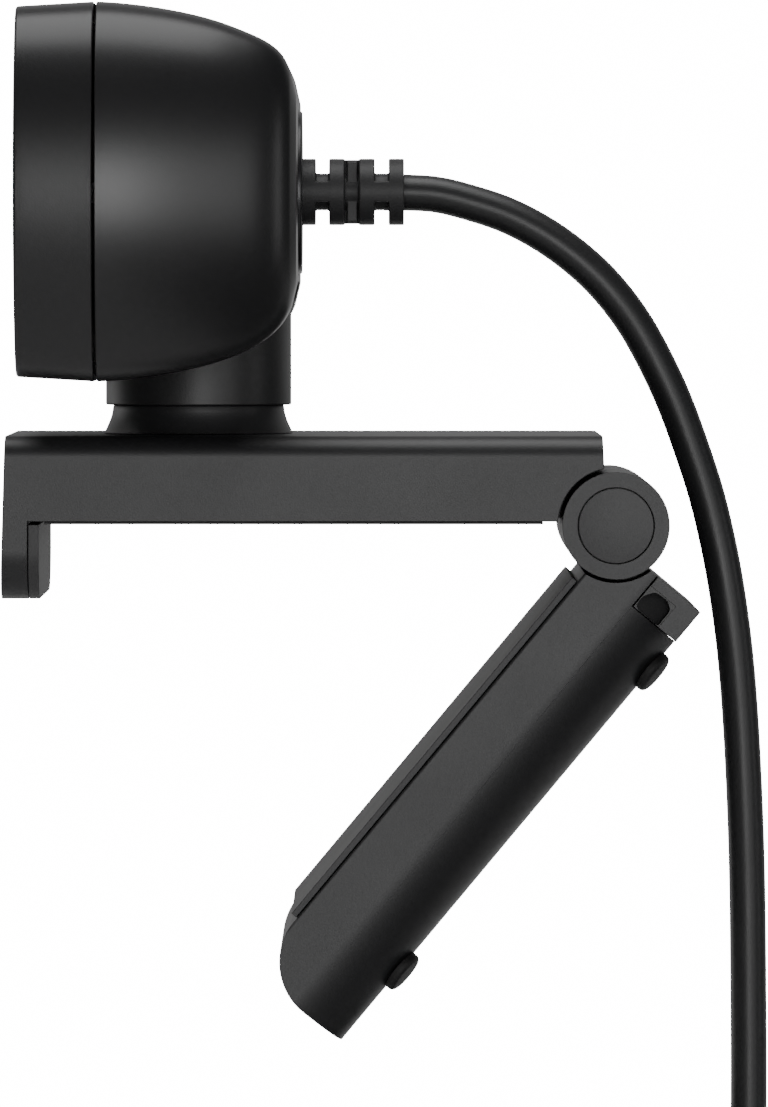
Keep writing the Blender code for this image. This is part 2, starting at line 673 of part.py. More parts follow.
def make_tilt_bracket():
    bracket = box("tilt_bracket", (-0.0135, 0.0070, 0.0282), (0.0135, 0.0088, 0.0338))
    for side in (-1, 1):
        near, far = sorted((side * 0.0047, side * 0.0072))
        add(
            bracket,
            box("ear_arm", (near + 0.0001, 0, 0.0283), (far - 0.0001, 0.0072, 0.0337)),
            rod("ear", (near, 0, TILT_AXIS_Z), (far, 0, TILT_AXIS_Z), 0.0042, sides=32),
        )
    cut(bracket, rod("pin_hole", (-0.01, 0, TILT_AXIS_Z), (0.01, 0, TILT_AXIS_Z), PIN_BORE, sides=20))
    for x in BRACKET_SCREW_X:
        cut(bracket, rod("screw_hole", (x, 0.005, TILT_AXIS_Z), (x, 0.010, TILT_AXIS_Z), SCREW_HOLE, sides=12))
    bake(bracket)
    finish(bracket, STEEL_FINISH, HEAD)
    for side, x in zip(("left", "right"), BRACKET_SCREW_X):
        make_screw(f"bracket_screw_{side}", (x, 0.0057, TILT_AXIS_Z), (0, 1, 0), 0.0048, HEAD)
    pin = rod("tilt_pin", (-0.0078, 0, TILT_AXIS_Z), (0.0078, 0, TILT_AXIS_Z), PIN_RADIUS, sides=24)
    finish(pin, STEEL_FINISH, HEAD)
    washer = rod("tilt_washer", (0.0038, 0, TILT_AXIS_Z), (0.0044, 0, TILT_AXIS_Z), 0.0033, sides=24)
    cut(washer, rod("bore", (0.003, 0, TILT_AXIS_Z), (0.006, 0, TILT_AXIS_Z), PIN_BORE, sides=20))
    bake(washer)
    finish(washer, STEEL_FINISH, HEAD)


# ---------------------------------------------------------------- leg, in its own frame
# The leg's frame sits on the hinge axis: -Y runs down the leg and +Z faces the monitor.
LEG_SCREW_Y = -0.0165
COVER_SEAT = -0.0024


def make_leg_shell():
    """The side outline: round the knuckles, over the heel's seat, down the back and round the tip."""
    knuckle_arc = arc((0.0, 0.0), KNUCKLE_CLEARANCE, 180 + math.degrees(math.asin(-LEG_FRONT / KNUCKLE_CLEARANCE)),
                      180 + math.degrees(math.acos(-HEEL_TOP / KNUCKLE_CLEARANCE)), 10)
    tip_centre = (-LEG_LENGTH + LEG_TIP_RADIUS, LEG_FRONT - LEG_TIP_RADIUS)
    tip_arc = arc(tip_centre, LEG_TIP_RADIUS, 180, 90, 8)
    outline = [*knuckle_arc, (HEEL_TOP, LEG_BACK), (-LEG_LENGTH, LEG_BACK), *tip_arc]
    shell = plate("leg_shell", [outline], 2 * CLIP_HALF_WIDTH + 0.002, plane_x=True)
    keep_inside(shell, section("leg_section", CLIP_HALF_WIDTH, LEG_BACK, LEG_FRONT, LEG_EDGE_RADIUS, 0.0004,
                               -LEG_LENGTH - 0.001, 0.001))
    side = CLIP_HALF_WIDTH + 0.001
    room = BRACKET_HALF + GAP
    cut(
        shell,
        box("heel_seat", (-side, HEEL_FOOT - GAP, LEG_BACK - 0.001), (side, 0.001, HEEL_FRONT + GAP)),
        box("cover_recess", (-0.0181, -0.0570, COVER_SEAT), (0.0181, -0.0080, 0.001)),
        box("cavity", (-0.0150, -0.0550, -0.0113), (0.0150, -0.0105, COVER_SEAT + 0.0001)),
        box("tongue_slot", (-room, -0.0105, TONGUE_LOW - GAP), (room, 0.001, TONGUE_HIGH + GAP)),
        box("block_slot", (-room, HEEL_FOOT - GAP, LEG_BACK - 0.001), (room, 0.001, TONGUE_HIGH + GAP)),
    )
    add(shell, rod("boss", (0, LEG_SCREW_Y, -0.0119), (0, LEG_SCREW_Y, TONGUE_LOW - GAP), SCREW_BOSS, sides=16))
    cut(shell, rod("boss_hole", (0, LEG_SCREW_Y, -0.0108), (0, LEG_SCREW_Y, -0.006), SCREW_HOLE, sides=12))
    bake(shell)
    finish(shell, SHELL_FINISH, LEG, local=True)


def make_hinge_bracket():
    """Outer knuckles, the stepped heel behind them and the tongue screwed inside the leg."""
    bracket = box("hinge_bracket", (-BRACKET_HALF, HEEL_FOOT, HEEL_BACK), (BRACKET_HALF, HEEL_TOP, TONGUE_HIGH))
    side = CLIP_HALF_WIDTH - 0.0003
    add(
        bracket,
        box("tongue", (-BRACKET_HALF, -0.0210, TONGUE_LOW), (BRACKET_HALF, -0.0030, TONGUE_HIGH)),
        box("heel_step", (-side, HEEL_STEP, HEEL_BACK), (side, HEEL_TOP, HEEL_FRONT)),
        box("heel_edge", (-side, HEEL_FOOT, HEEL_BACK), (side, HEEL_TOP, HEEL_MIDDLE)),
        box("heel_core", (-side + 0.005, HEEL_FOOT, HEEL_BACK), (side - 0.005, HEEL_TOP, HEEL_FRONT)),
    )
    clearance = OUTER_KNUCKLE_START
    cut(bracket, rod("knuckle_room", (-clearance, 0, 0), (clearance, 0, 0), KNUCKLE_CLEARANCE, sides=48))
    for sign in (-1, 1):
        near = sign * OUTER_KNUCKLE_START
        far = sign * CLIP_HALF_WIDTH
        add(bracket, rod("outer_knuckle", (near, 0, 0), (far, 0, 0), KNUCKLE_RADIUS, sides=48))
        cut(bracket, rod("cap_recess", (far - sign * CAP_RECESS, 0, 0), (far + sign * 0.002, 0, 0),
                         CAP_RADIUS + 0.0002, sides=48))
    cut(bracket, rod("pin_hole", (-0.021, 0, 0), (0.021, 0, 0), PIN_BORE, sides=24))
    cut(bracket, rod("screw_hole", (0, LEG_SCREW_Y, -0.009), (0, LEG_SCREW_Y, -0.003), SCREW_HOLE, sides=12))
    bake(bracket)
    finish(bracket, SHELL_FINISH, LEG, local=True)


def make_hinge_pieces():
    reach = CLIP_HALF_WIDTH - CAP_RECESS - GAP
    pin = rod("hinge_pin", (-reach, 0, 0), (reach, 0, 0), PIN_RADIUS, sides=24)
    finish(pin, STEEL_FINISH, LEG, local=True)
    for name, sign in (("near", 1), ("far", -1)):
        inner = sign * (CLIP_HALF_WIDTH - CAP_RECESS + GAP)
        cap = rod(f"hinge_cap_{name}", (inner, 0, 0), (sign * CLIP_HALF_WIDTH, 0, 0), CAP_RADIUS, sides=48)
        finish(cap, SHELL_FINISH, LEG, local=True)
        start, stop = sorted((sign * 0.0075, sign * 0.0080))
        washer = rod(f"hinge_washer_{name}", (start, 0, 0), (stop, 0, 0), 0.0050, sides=32)
        cut(washer, rod("bore", (start - 0.001, 0, 0), (stop + 0.001, 0, 0), PIN_BORE, sides=20))
        bake(washer)
        finish(washer, STEEL_FINISH, LEG, local=True)


def make_leg_front():
    cover = box("leg_cover", (-0.0178, -0.0567, COVER_SEAT + GAP), (0.0178, -0.0083, LEG_FRONT - 0.0001))
    finish(cover, SHELL_FINISH, LEG, local=True)
    side = CLIP_HALF_WIDTH - 0.0003
    pad = box("leg_pad", (-side, LEG_PAD_END, LEG_FRONT + GAP), (side, LEG_PAD_START, LEG_PAD_FACE))
    round_edges(pad, 0.0002, 1)
    finish(pad, RUBBER_FINISH, LEG, local=True)
    make_screw("leg_screw", (0, LEG_SCREW_Y, TONGUE_HIGH + GAP + 0.0010), (0, 0, -1), 0.0062, LEG, local=True)


def make_feet():
    """Round feet on the leg's rounded rear edges, facing back and a little outwards."""
    centre_x = CLIP_HALF_WIDTH - LEG_EDGE_RADIUS
    centre_z = LEG_BACK + LEG_EDGE_RADIUS
    for level, along in zip(("upper", "lower"), FOOT_ALONG):
        for side, sign in (("near", 1), ("far", -1)):
            outwards = Vector((sign * math.sin(FOOT_TILT), 0.0, -math.cos(FOOT_TILT)))
            seat = Vector((sign * centre_x, -along, centre_z)) + outwards * (LEG_EDGE_RADIUS + GAP)
            foot = rod(f"foot_{level}_{side}", seat, seat + outwards * (FOOT_PROUD - GAP), FOOT_RADIUS,
                       FOOT_RADIUS - 0.0003, sides=32)
            finish(foot, RUBBER_FINISH, LEG, local=True)


# ---------------------------------------------------------------- cord
def smooth_route(points, spacing):
    """Evenly spaced points on a smooth curve through the given ones."""
    points = [Vector(point) for point in points]
    ends = [2 * points[0] - points[1], *points, 2 * points[-1] - points[-2]]
    dense = []
    for before, start, stop, after in zip(ends, ends[1:], ends[2:], ends[3:]):
        for step in range(20):
            t = step / 20
            dense.append(0.5 * (
                2 * start + (stop - before) * t + (2 * before - 5 * start + 4 * stop - after) * t ** 2
                + (3 * start - before - 3 * stop + after) * t ** 3
            ))
    dense.append(points[-1])
    length = sum((b - a).length for a, b in zip(dense, dense[1:]))
    count = round(length / spacing)
    kept = [dense[0]]
    walked = 0.0
    for a, b in zip(dense, dense[1:]):
        walked += (b - a).length
        if walked >= length * len(kept) / count - MERGE and len(kept) <= count:
            kept.append(b)
    kept[-1] = dense[-1]
    return kept


def tube(name, points, radius):
    curve = bpy.data.curves.new(name, "CURVE")
    curve.dimensions = "3D"
    curve.bevel_depth = radius
    curve.bevel_resolution = 2
    curve.use_fill_caps = True
    spline = curve.splines.new("POLY")
    spline.points.add(len(points) - 1)
    for control, point in zip(spline.points, points):
        control.co = (*point, 1.0)
    obj = bpy.data.objects.new(name, curve)
    PARTS.objects.link(obj)
    return obj


def place_tube(name, points):
    obj = tube(name, points, CORD_RADIUS)
    obj.data.materials.append(make_material(name, *RUBBER_FINISH))
    keep_place(obj, NECK)


def make_cord():
    entry_y = COIL_Y + ENTRY_OFFSET
    reach = math.sqrt((COIL_RADIUS + COIL_BUNDLE) ** 2 - (ENTRY_OFFSET - CORD_RADIUS) ** 2) + GAP
    route = [(0.0, y, z) for y, z in (*CORD_ROUTE, (entry_y, -0.0700), (entry_y, COIL_Z + reach))]
    place_tube("cord_tube", smooth_route(route, 2.5 * 2 * CORD_RADIUS))
    coil = turned("cord_coil", arc((COIL_RADIUS, 0.0), COIL_BUNDLE, 90, -240, 11), sides=32)
    coil.location = (0.0, COIL_Y, COIL_Z)
    coil.rotation_euler = (0.0, math.radians(90), 0.0)
    finish(coil, RUBBER_FINISH, NECK)
    tie = turned("cord_tie", ring_profile(0.0091, 0.0083, -0.0030, 0.0030))
    tie.location = (0.0, COIL_Y, COIL_Z + COIL_RADIUS)
    tie.rotation_euler = (math.radians(90), 0.0, 0.0)
    finish(tie, RUBBER_FINISH, NECK)
    tail_y = COIL_Y + TAIL_OFFSET
    drop = TAIL_END_Z - TAIL_START_Z
    steps = 3
    place_tube("cord_tail", [(0.0, tail_y, TAIL_START_Z + drop * k / steps) for k in range(steps + 1)])
    make_plug(tail_y, TAIL_END_Z - GAP)


def make_plug(y, top):
    grip = box("usb_grip", (-0.0078, y - 0.0040, top - 0.0310), (0.0078, y + 0.0040, top - 0.0090))
    round_edges(grip, 0.0016, 3)
    add(grip, rod("boot", (0, y, top - 0.0100), (0, y, top), 0.0038, 0.0027, sides=24))
    cut(grip, box("shell_room", (-0.0063, y - 0.00255, top - 0.032), (0.0063, y + 0.00255, top - 0.0270)))
    bake(grip)
    finish(grip, RUBBER_FINISH, NECK)
    low = top - 0.0495
    shell = box("usb_shell", (-0.0060, y - 0.00225, low), (0.0060, y + 0.00225, top - 0.0273))
    cut(shell, box("shell_hollow", (-0.0057, y - 0.00195, low - 0.001), (0.0057, y + 0.00195, top - 0.0276)))
    bake(shell)
    finish(shell, STEEL_FINISH, NECK)
    tongue = box("usb_tongue", (-0.0054, y, low + 0.0005), (0.0054, y + 0.0016, top - 0.0280))
    finish(tongue, IVORY_FINISH, NECK)


make_arm_shell()
make_arm_underside()
make_swivel()
make_bezel()
make_rear_shell()
make_strain_relief()
make_front_glass()
make_lens()
make_board()
make_tilt_bracket()
make_leg_shell()
make_hinge_bracket()
make_hinge_pieces()
make_leg_front()
make_feet()
make_cord()
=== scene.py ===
"""Studio scene of the webcam with its monitor clip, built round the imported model.

Metres, +Z up, lens towards -Y. The camera looks along -X at the side of the clip.
"""
import json
import math

import bmesh
import bpy
from mathutils import Matrix, Vector


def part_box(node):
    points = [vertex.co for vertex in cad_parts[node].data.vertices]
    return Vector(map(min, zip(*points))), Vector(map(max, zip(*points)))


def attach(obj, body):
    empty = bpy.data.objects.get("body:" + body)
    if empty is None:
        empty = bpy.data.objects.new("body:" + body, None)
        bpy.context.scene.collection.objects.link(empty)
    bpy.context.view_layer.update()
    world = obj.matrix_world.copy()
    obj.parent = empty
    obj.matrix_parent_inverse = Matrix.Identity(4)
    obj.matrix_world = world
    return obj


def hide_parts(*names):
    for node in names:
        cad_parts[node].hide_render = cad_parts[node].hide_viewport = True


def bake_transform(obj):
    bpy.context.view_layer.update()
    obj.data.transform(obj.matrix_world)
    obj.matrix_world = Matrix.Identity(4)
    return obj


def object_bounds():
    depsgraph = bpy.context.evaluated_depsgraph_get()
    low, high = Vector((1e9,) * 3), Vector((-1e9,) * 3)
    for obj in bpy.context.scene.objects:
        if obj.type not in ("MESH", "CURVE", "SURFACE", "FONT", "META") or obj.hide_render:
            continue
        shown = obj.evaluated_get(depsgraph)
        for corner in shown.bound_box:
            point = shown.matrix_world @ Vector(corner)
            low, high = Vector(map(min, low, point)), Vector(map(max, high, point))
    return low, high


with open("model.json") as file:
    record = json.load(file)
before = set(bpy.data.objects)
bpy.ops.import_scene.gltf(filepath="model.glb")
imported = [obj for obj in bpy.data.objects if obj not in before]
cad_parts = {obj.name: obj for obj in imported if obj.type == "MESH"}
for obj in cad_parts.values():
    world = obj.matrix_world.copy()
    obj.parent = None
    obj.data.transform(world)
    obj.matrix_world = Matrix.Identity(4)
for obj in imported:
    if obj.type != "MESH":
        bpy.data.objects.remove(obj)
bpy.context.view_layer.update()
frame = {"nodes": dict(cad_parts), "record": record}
NODES = frame["nodes"]
SLOT_OF = {part["node"]: part["material_slot"] for part in frame["record"]["subparts"]}

# ---------------------------------------------------------------- camera
CAMERA_PLACE = Vector((1.062, 0.02148, 0.0284))
CAMERA_AIM = Vector((0.0, 0.02148, -0.00397))
camera_data = bpy.data.cameras.new("camera")
camera_data.lens = 298.0
camera_data.sensor_width = 36.0
camera_data.clip_start = 0.05
camera_data.clip_end = 50.0
camera = bpy.data.objects.new("camera", camera_data)
bpy.context.scene.collection.objects.link(camera)
camera.location = CAMERA_PLACE
camera.rotation_euler = (CAMERA_AIM - CAMERA_PLACE).to_track_quat("-Z", "Y").to_euler()
bpy.context.scene.camera = camera


# ---------------------------------------------------------------- mesh helpers
def put_mesh(name, bm):
    mesh = bpy.data.meshes.new(name)
    bm.to_mesh(mesh)
    bm.free()
    for face in mesh.polygons:
        face.use_smooth = True
    obj = bpy.data.objects.new(name, mesh)
    bpy.context.scene.collection.objects.link(obj)
    return obj


def arc(centre, radius, start, stop, steps):
    """Points on a circular arc, in degrees, ends included."""
    points = []
    for step in range(steps + 1):
        angle = math.radians(start + (stop - start) * step / steps)
        points.append((centre[0] + radius * math.cos(angle), centre[1] + radius * math.sin(angle)))
    return points


def rounded(profile, radius, steps=4):
    """A closed profile with its corners rounded off; radius may be a number or one per corner."""
    points = [Vector(point) for point in profile]
    radii = [radius] * len(points) if isinstance(radius, float) else radius
    out = []
    for index, corner in enumerate(points):
        before = points[index - 1] - corner
        after = points[(index + 1) % len(points)] - corner
        angle = before.angle(after)
        reach = min(radii[index] / math.tan(angle / 2), before.length * 0.49, after.length * 0.49)
        if reach < 1e-6:
            out.append(corner)
            continue
        a = corner + before.normalized() * reach
        b = corner + after.normalized() * reach
        for step in range(steps + 1):
            t = step / steps
            out.append(a * (1 - t) ** 2 + corner * 2 * t * (1 - t) + b * t ** 2)
    return [tuple(point) for point in out]


def lathe(name, profile, matrix, sides=96, closed=True):
    """Turns an (radius, height) profile round the local Z axis of a matrix."""
    bm = bmesh.new()
    rings = []
    for radius, height in profile:
        if radius < 1e-6:
            rings.append([bm.verts.new((0, 0, height))])
        else:
            angles = [math.tau * k / sides for k in range(sides)]
            rings.append([bm.verts.new((radius * math.cos(a), radius * math.sin(a), height)) for a in angles])
    pairs = list(zip(rings, rings[1:]))
    if closed:
        pairs.append((rings[-1], rings[0]))
    for low, high in pairs:
        for k in range(sides):
            n = (k + 1) % sides
            corners = [low[k % len(low)], low[n % len(low)], high[n % len(high)], high[k % len(high)]]
            unique = list(dict.fromkeys(corners))
            if len(unique) > 2:
                bm.faces.new(unique)
    bmesh.ops.recalc_face_normals(bm, faces=bm.faces)
    bmesh.ops.transform(bm, matrix=matrix, verts=bm.verts)
    return put_mesh(name, bm)


def facing(place, direction):
    """A matrix whose +Z is the direction."""
    return Matrix.Translation(place) @ Vector(direction).to_track_quat("Z", "Y").to_matrix().to_4x4()


def sharpen(obj, angle=32.0):
    """Smooth shading with sharp edges where faces meet at more than the angle."""
    obj.data.set_sharp_from_angle(angle=math.radians(angle))


def weighted(obj):
    """Normals weighted by face size, so that flat faces stay flat beside small rounded edges."""
    normals = obj.modifiers.new("weighted normals", "WEIGHTED_NORMAL")
    normals.keep_sharp = True
    normals.weight = 100


def bake(obj):
    """Applies the modifiers."""
    depsgraph = bpy.context.evaluated_depsgraph_get()
    depsgraph.update()
    mesh = bpy.data.meshes.new_from_object(obj.evaluated_get(depsgraph))
    obj.modifiers.clear()
    obj.data = mesh
    return obj


def boolean(obj, tool, operation="DIFFERENCE"):
    """Cuts, joins or intersects a piece with a tool, which is used up."""
    change = obj.modifiers.new(operation.lower(), "BOOLEAN")
    change.operation = operation
    change.solver = "EXACT"
    change.object = tool
    bake(obj)
    bpy.data.objects.remove(tool)


def block(name, low, high, bevel=0.0, segments=3):
    """A box between two corners, its edges rounded if a bevel is given."""
    bm = bmesh.new()
    bmesh.ops.create_cube(bm, size=1.0)
    low, high = Vector(low), Vector(high)
    bmesh.ops.scale(bm, vec=high - low, verts=bm.verts)
    bmesh.ops.translate(bm, vec=(low + high) / 2, verts=bm.verts)
    if bevel:
        bmesh.ops.bevel(bm, geom=list(bm.edges), offset=bevel, segments=segments, profile=0.5, affect="EDGES")
    return put_mesh(name, bm)


def dress(obj, material, body=None, replaced=()):
    """Gives a piece its material and its body, and hides the nodes that it stands for."""
    obj.data.materials.clear()
    obj.data.materials.append(material)
    if body:
        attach(obj, body)
    if replaced:
        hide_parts(*replaced)


# ---------------------------------------------------------------- materials
def mix_numbers(tree, factor, low, high):
    """A number between low and high, as the factor goes from 0 to 1."""
    blend = tree.nodes.new("ShaderNodeMapRange")
    blend.inputs["To Min"].default_value = low
    blend.inputs["To Max"].default_value = high
    tree.links.new(factor, blend.inputs["Value"])
    return blend.outputs["Result"]


def noise(tree, scale, detail, stretch=None):
    """Noise in the piece's own metres; scale is in cells a metre."""
    place = tree.nodes.new("ShaderNodeTexCoord")
    source = place.outputs["Object"]
    if stretch:
        mapping = tree.nodes.new("ShaderNodeMapping")
        mapping.inputs["Scale"].default_value = stretch
        tree.links.new(source, mapping.inputs["Vector"])
        source = mapping.outputs["Vector"]
    texture = tree.nodes.new("ShaderNodeTexNoise")
    texture.inputs["Scale"].default_value = scale
    texture.inputs["Detail"].default_value = detail
    tree.links.new(source, texture.inputs["Vector"])
    return texture.outputs["Fac"]


def surface(name, colour, roughness, spread=0.05, grain=0.0, grain_scale=4000.0, tone=0.15, metallic=0.0,
            stretch=None, coat=0.0, coat_rough=0.1, specular=0.5, transmission=0.0, ior=1.5):
    """A moulded or drawn surface: fine grain in its bump, soft cloudiness in its roughness and its colour."""
    material = bpy.data.materials.new(name)
    material.use_nodes = True
    tree = material.node_tree
    shader = tree.nodes["Principled BSDF"]
    shader.inputs["Metallic"].default_value = metallic
    shader.inputs["Specular IOR Level"].default_value = specular
    shader.inputs["Coat Weight"].default_value = coat
    shader.inputs["Coat Roughness"].default_value = coat_rough
    shader.inputs["Transmission Weight"].default_value = transmission
    shader.inputs["IOR"].default_value = ior
    clouds = noise(tree, 90.0, 4.0)
    level = mix_numbers(tree, clouds, roughness - spread, roughness + spread)
    tree.links.new(level, shader.inputs["Roughness"])
    shade = tree.nodes.new("ShaderNodeMix")
    shade.data_type = "RGBA"
    shade.inputs[6].default_value = (*[c * (1 - tone) for c in colour], 1.0)
    shade.inputs[7].default_value = (*[c * (1 + tone) for c in colour], 1.0)
    tree.links.new(noise(tree, 45.0, 5.0), shade.inputs[0])
    tree.links.new(shade.outputs[2], shader.inputs["Base Color"])
    if grain:
        bump = tree.nodes.new("ShaderNodeBump")
        bump.inputs["Strength"].default_value = grain
        bump.inputs["Distance"].default_value = 0.00004
        tree.links.new(noise(tree, grain_scale, 2.0, stretch), bump.inputs["Height"])
        tree.links.new(bump.outputs["Normal"], shader.inputs["Normal"])
    return material


LOOKS = {
    "shell": surface("shell", (0.016, 0.016, 0.017), 0.435, 0.03, grain=0.25, grain_scale=5200),
    "foot": surface("foot", (0.010, 0.010, 0.010), 0.6, 0.05, grain=0.4, specular=0.35),
    # pocket: a rougher, less reflective copy of the black plastic for the heel pocket's floor, which paints the
    # shade of the recess
    "pocket": surface("pocket", (0.030, 0.030, 0.031), 0.75, 0.05, grain=0.3, specular=0.3),
    "head_shell": surface("head_shell", (0.015, 0.015, 0.016), 0.31, 0.02, grain=0.15, grain_scale=5200,
                          tone=0.1),
    "grip_rubber": surface("grip_rubber", (0.036, 0.036, 0.037), 0.52, 0.05, grain=0.4, grain_scale=3200),
    "relief_rubber": surface("relief_rubber", (0.032, 0.032, 0.033), 0.46, 0.05, grain=0.4, grain_scale=3600,
                             specular=0.3),
    "cord_jacket": surface("cord_jacket", (0.015, 0.015, 0.016), 0.41, 0.05, grain=0.35, grain_scale=3000),
    "tie": surface("tie", (0.018, 0.018, 0.019), 0.7, 0.06, grain=0.8, grain_scale=2200),
    "steel": surface("steel", (0.60, 0.60, 0.61), 0.27, 0.06, grain=0.3, grain_scale=1500, tone=0.08,
                     metallic=1.0, stretch=(1.0, 1.0, 12.0)),
    "window": surface("window", (0.006, 0.006, 0.008), 0.06, 0.02, tone=0.1, coat=0.6, coat_rough=0.03),
    "lens": surface("lens", (0.030, 0.035, 0.070), 0.03, 0.01, tone=0.2, coat=1.0, coat_rough=0.02,
                    specular=0.8),
    "chip": surface("chip", (0.016, 0.016, 0.017), 0.5, 0.05, grain=0.5, grain_scale=2600),
    "board": surface("board", (0.015, 0.11, 0.045), 0.38, 0.05, grain=0.3, grain_scale=1800, tone=0.25),
    "connector": surface("connector", (0.74, 0.70, 0.60), 0.45, 0.05, grain=0.2, tone=0.06),
    "clear": surface("clear", (0.80, 0.82, 0.85), 0.12, 0.03, tone=0.03, transmission=0.6, ior=1.49),
}

# ---------------------------------------------------------------- cord
CORD_RADIUS = 0.0021
COIL_RADIUS = 0.023
COIL_CENTRE = Vector((0.0, 0.0349, -0.1022))
TURNS = 9
BUNDLE = 0.0059
TAIL_OFFSET = 0.0316
TURN_STEPS = 36
COIL_FIRST = 0.01
COIL_LAST = TURNS - 0.22
POINT_SPACING = 0.0014
LEAD = (
    (0.0215, 0.03785), (0.0240, 0.03785), (0.0277, 0.0376), (0.0317, 0.0366), (0.0358, 0.0352), (0.0400, 0.0330),
    (0.0440, 0.0301), (0.0475, 0.0267), (0.05095, 0.0220), (0.0545, 0.0151), (0.0571, 0.0083), (0.0593, 0.0012),
    (0.06123, -0.0082), (0.0626, -0.0198), (0.0635, -0.0370), (0.0638, -0.0560), (0.0638, -0.0740),
)
TAIL_BEND = ((-0.0044, 0.004), (-0.0044, -0.008), (-0.0032, -0.0200), (-0.0008, -0.0310))
TAIL_END = Vector((0.0, COIL_CENTRE.y + TAIL_OFFSET, -0.1400))


def smooth_through(points, each):
    """Points on a smooth curve through the given ones, with `each` steps between two of them."""
    points = [Vector(point) for point in points]
    ends = [2 * points[0] - points[1], *points, 2 * points[-1] - points[-2]]
    out = []
    for before, start, stop, after in zip(ends, ends[1:], ends[2:], ends[3:]):
        for step in range(each):
            t = step / each
            out.append(0.5 * (
                2 * start + (stop - before) * t + (2 * before - 5 * start + 4 * stop - after) * t ** 2
                + (3 * start - before - 3 * stop + after) * t ** 3
            ))
    out.append(points[-1])
    return out


def even(points, spacing):
    """The same line with its points a fixed spacing apart."""
    total = sum((b - a).length for a, b in zip(points, points[1:]))
    count = max(2, round(total / spacing))
    step = total / count
    out = [points[0].copy()]
    walked, due = 0.0, step
    for a, b in zip(points, points[1:]):
        length = (b - a).length
        while walked + length >= due - 1e-9 and len(out) < count:
            out.append(a.lerp(b, (due - walked) / length))
            due += step
        walked += length
    out.append(points[-1].copy())
    return out


def wound_point(angle, phase, reach):
    """A point of the coil: angle round it, phase round its bundle and reach from the bundle's middle."""
    radial = COIL_RADIUS + reach * math.cos(phase)
    return COIL_CENTRE + Vector((reach * math.sin(phase), radial * math.cos(angle), radial * math.sin(angle)))


def cord_route():
    """Down from the sleeve, round the coil and down again to the plug."""
    lead = [Vector((0.0, y, z)) for y, z in LEAD]
    coil = []
    for step in range(TURNS * TURN_STEPS + 1):
        done = step / TURN_STEPS
        if COIL_FIRST < done < COIL_LAST:
            coil.append(wound_point(-math.tau * done, math.tau * done / TURNS, BUNDLE))
    down = [COIL_CENTRE + Vector((x, TAIL_OFFSET, z)) for x, z in TAIL_BEND]
    down += [TAIL_END + Vector((0, 0, 0.0010)), TAIL_END - Vector((0, 0, 0.0040))]
    return even(smooth_through(lead + coil + down, 6), POINT_SPACING)


def sweep(name, points, radius, sides=20):
    """A round tube of one mesh along the points, closed at both ends."""
    bm = bmesh.new()
    rings = []
    tangents = []
    for index in range(len(points)):
        ahead = points[min(index + 1, len(points) - 1)] - points[max(index - 1, 0)]
        tangents.append(ahead.normalized())
    side = Vector((1, 0, 0))
    side = (side - tangents[0] * side.dot(tangents[0])).normalized()
    for index, (point, tangent) in enumerate(zip(points, tangents)):
        side = (side - tangent * side.dot(tangent)).normalized()
        up = tangent.cross(side)
        angles = [math.tau * k / sides for k in range(sides)]
        rings.append([bm.verts.new(point + (side * math.cos(a) + up * math.sin(a)) * radius) for a in angles])
    for low, high in zip(rings, rings[1:]):
        for k in range(sides):
            n = (k + 1) % sides
            bm.faces.new((low[k], low[n], high[n], high[k]))
    bm.faces.new(list(reversed(rings[0])))
    bm.faces.new(rings[-1])
    bmesh.ops.recalc_face_normals(bm, faces=bm.faces)
    obj = put_mesh(name, bm)
    sharpen(obj, 50)
    return obj


TIE_INNER = 0.0083
TIE_OUTER = 0.0091
TIE_HALF = 0.0030
TIE_END_HALF = 0.0024
TIE_END_RADIUS = 0.0092
TIE_END_THICKNESS = 0.0006


def make_tie():
    """A hook-and-loop strap round the coil, its free end lying over the band."""
    low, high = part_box("cord_tie")
    centre = (low + high) / 2
    band = [(TIE_INNER, -TIE_HALF), (TIE_OUTER, -TIE_HALF), (TIE_OUTER, TIE_HALF), (TIE_INNER, TIE_HALF)]
    strap = lathe("tie_skin", rounded(band, 0.00025), facing(centre, (0, 1, 0)), 96)
    bends = [math.radians(8 * step - 30) for step in range(9)]
    bm = bmesh.new()
    rows = []
    for y in (-TIE_END_HALF, TIE_END_HALF):
        line = [Vector((TIE_END_RADIUS * math.sin(a), y, TIE_END_RADIUS * math.cos(a))) for a in bends]
        rows.append([bm.verts.new(centre + point) for point in line])
    for step in range(len(bends) - 1):
        bm.faces.new((rows[0][step], rows[0][step + 1], rows[1][step + 1], rows[1][step]))
    bmesh.ops.solidify(bm, geom=list(bm.faces), thickness=TIE_END_THICKNESS)
    bmesh.ops.recalc_face_normals(bm, faces=bm.faces)
    flap = put_mesh("tie_end", bm)
    sharpen(strap)
    sharpen(flap)
    dress(strap, LOOKS["tie"], "neck", ("cord_tie",))
    dress(flap, LOOKS["tie"], "neck")
    return [strap, flap]


route = cord_route()
cord = sweep("cord", route, CORD_RADIUS)
dress(cord, LOOKS["cord_jacket"], None, ("cord_tube", "cord_coil", "cord_tail"))
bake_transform(cord)
tie_pieces = make_tie()


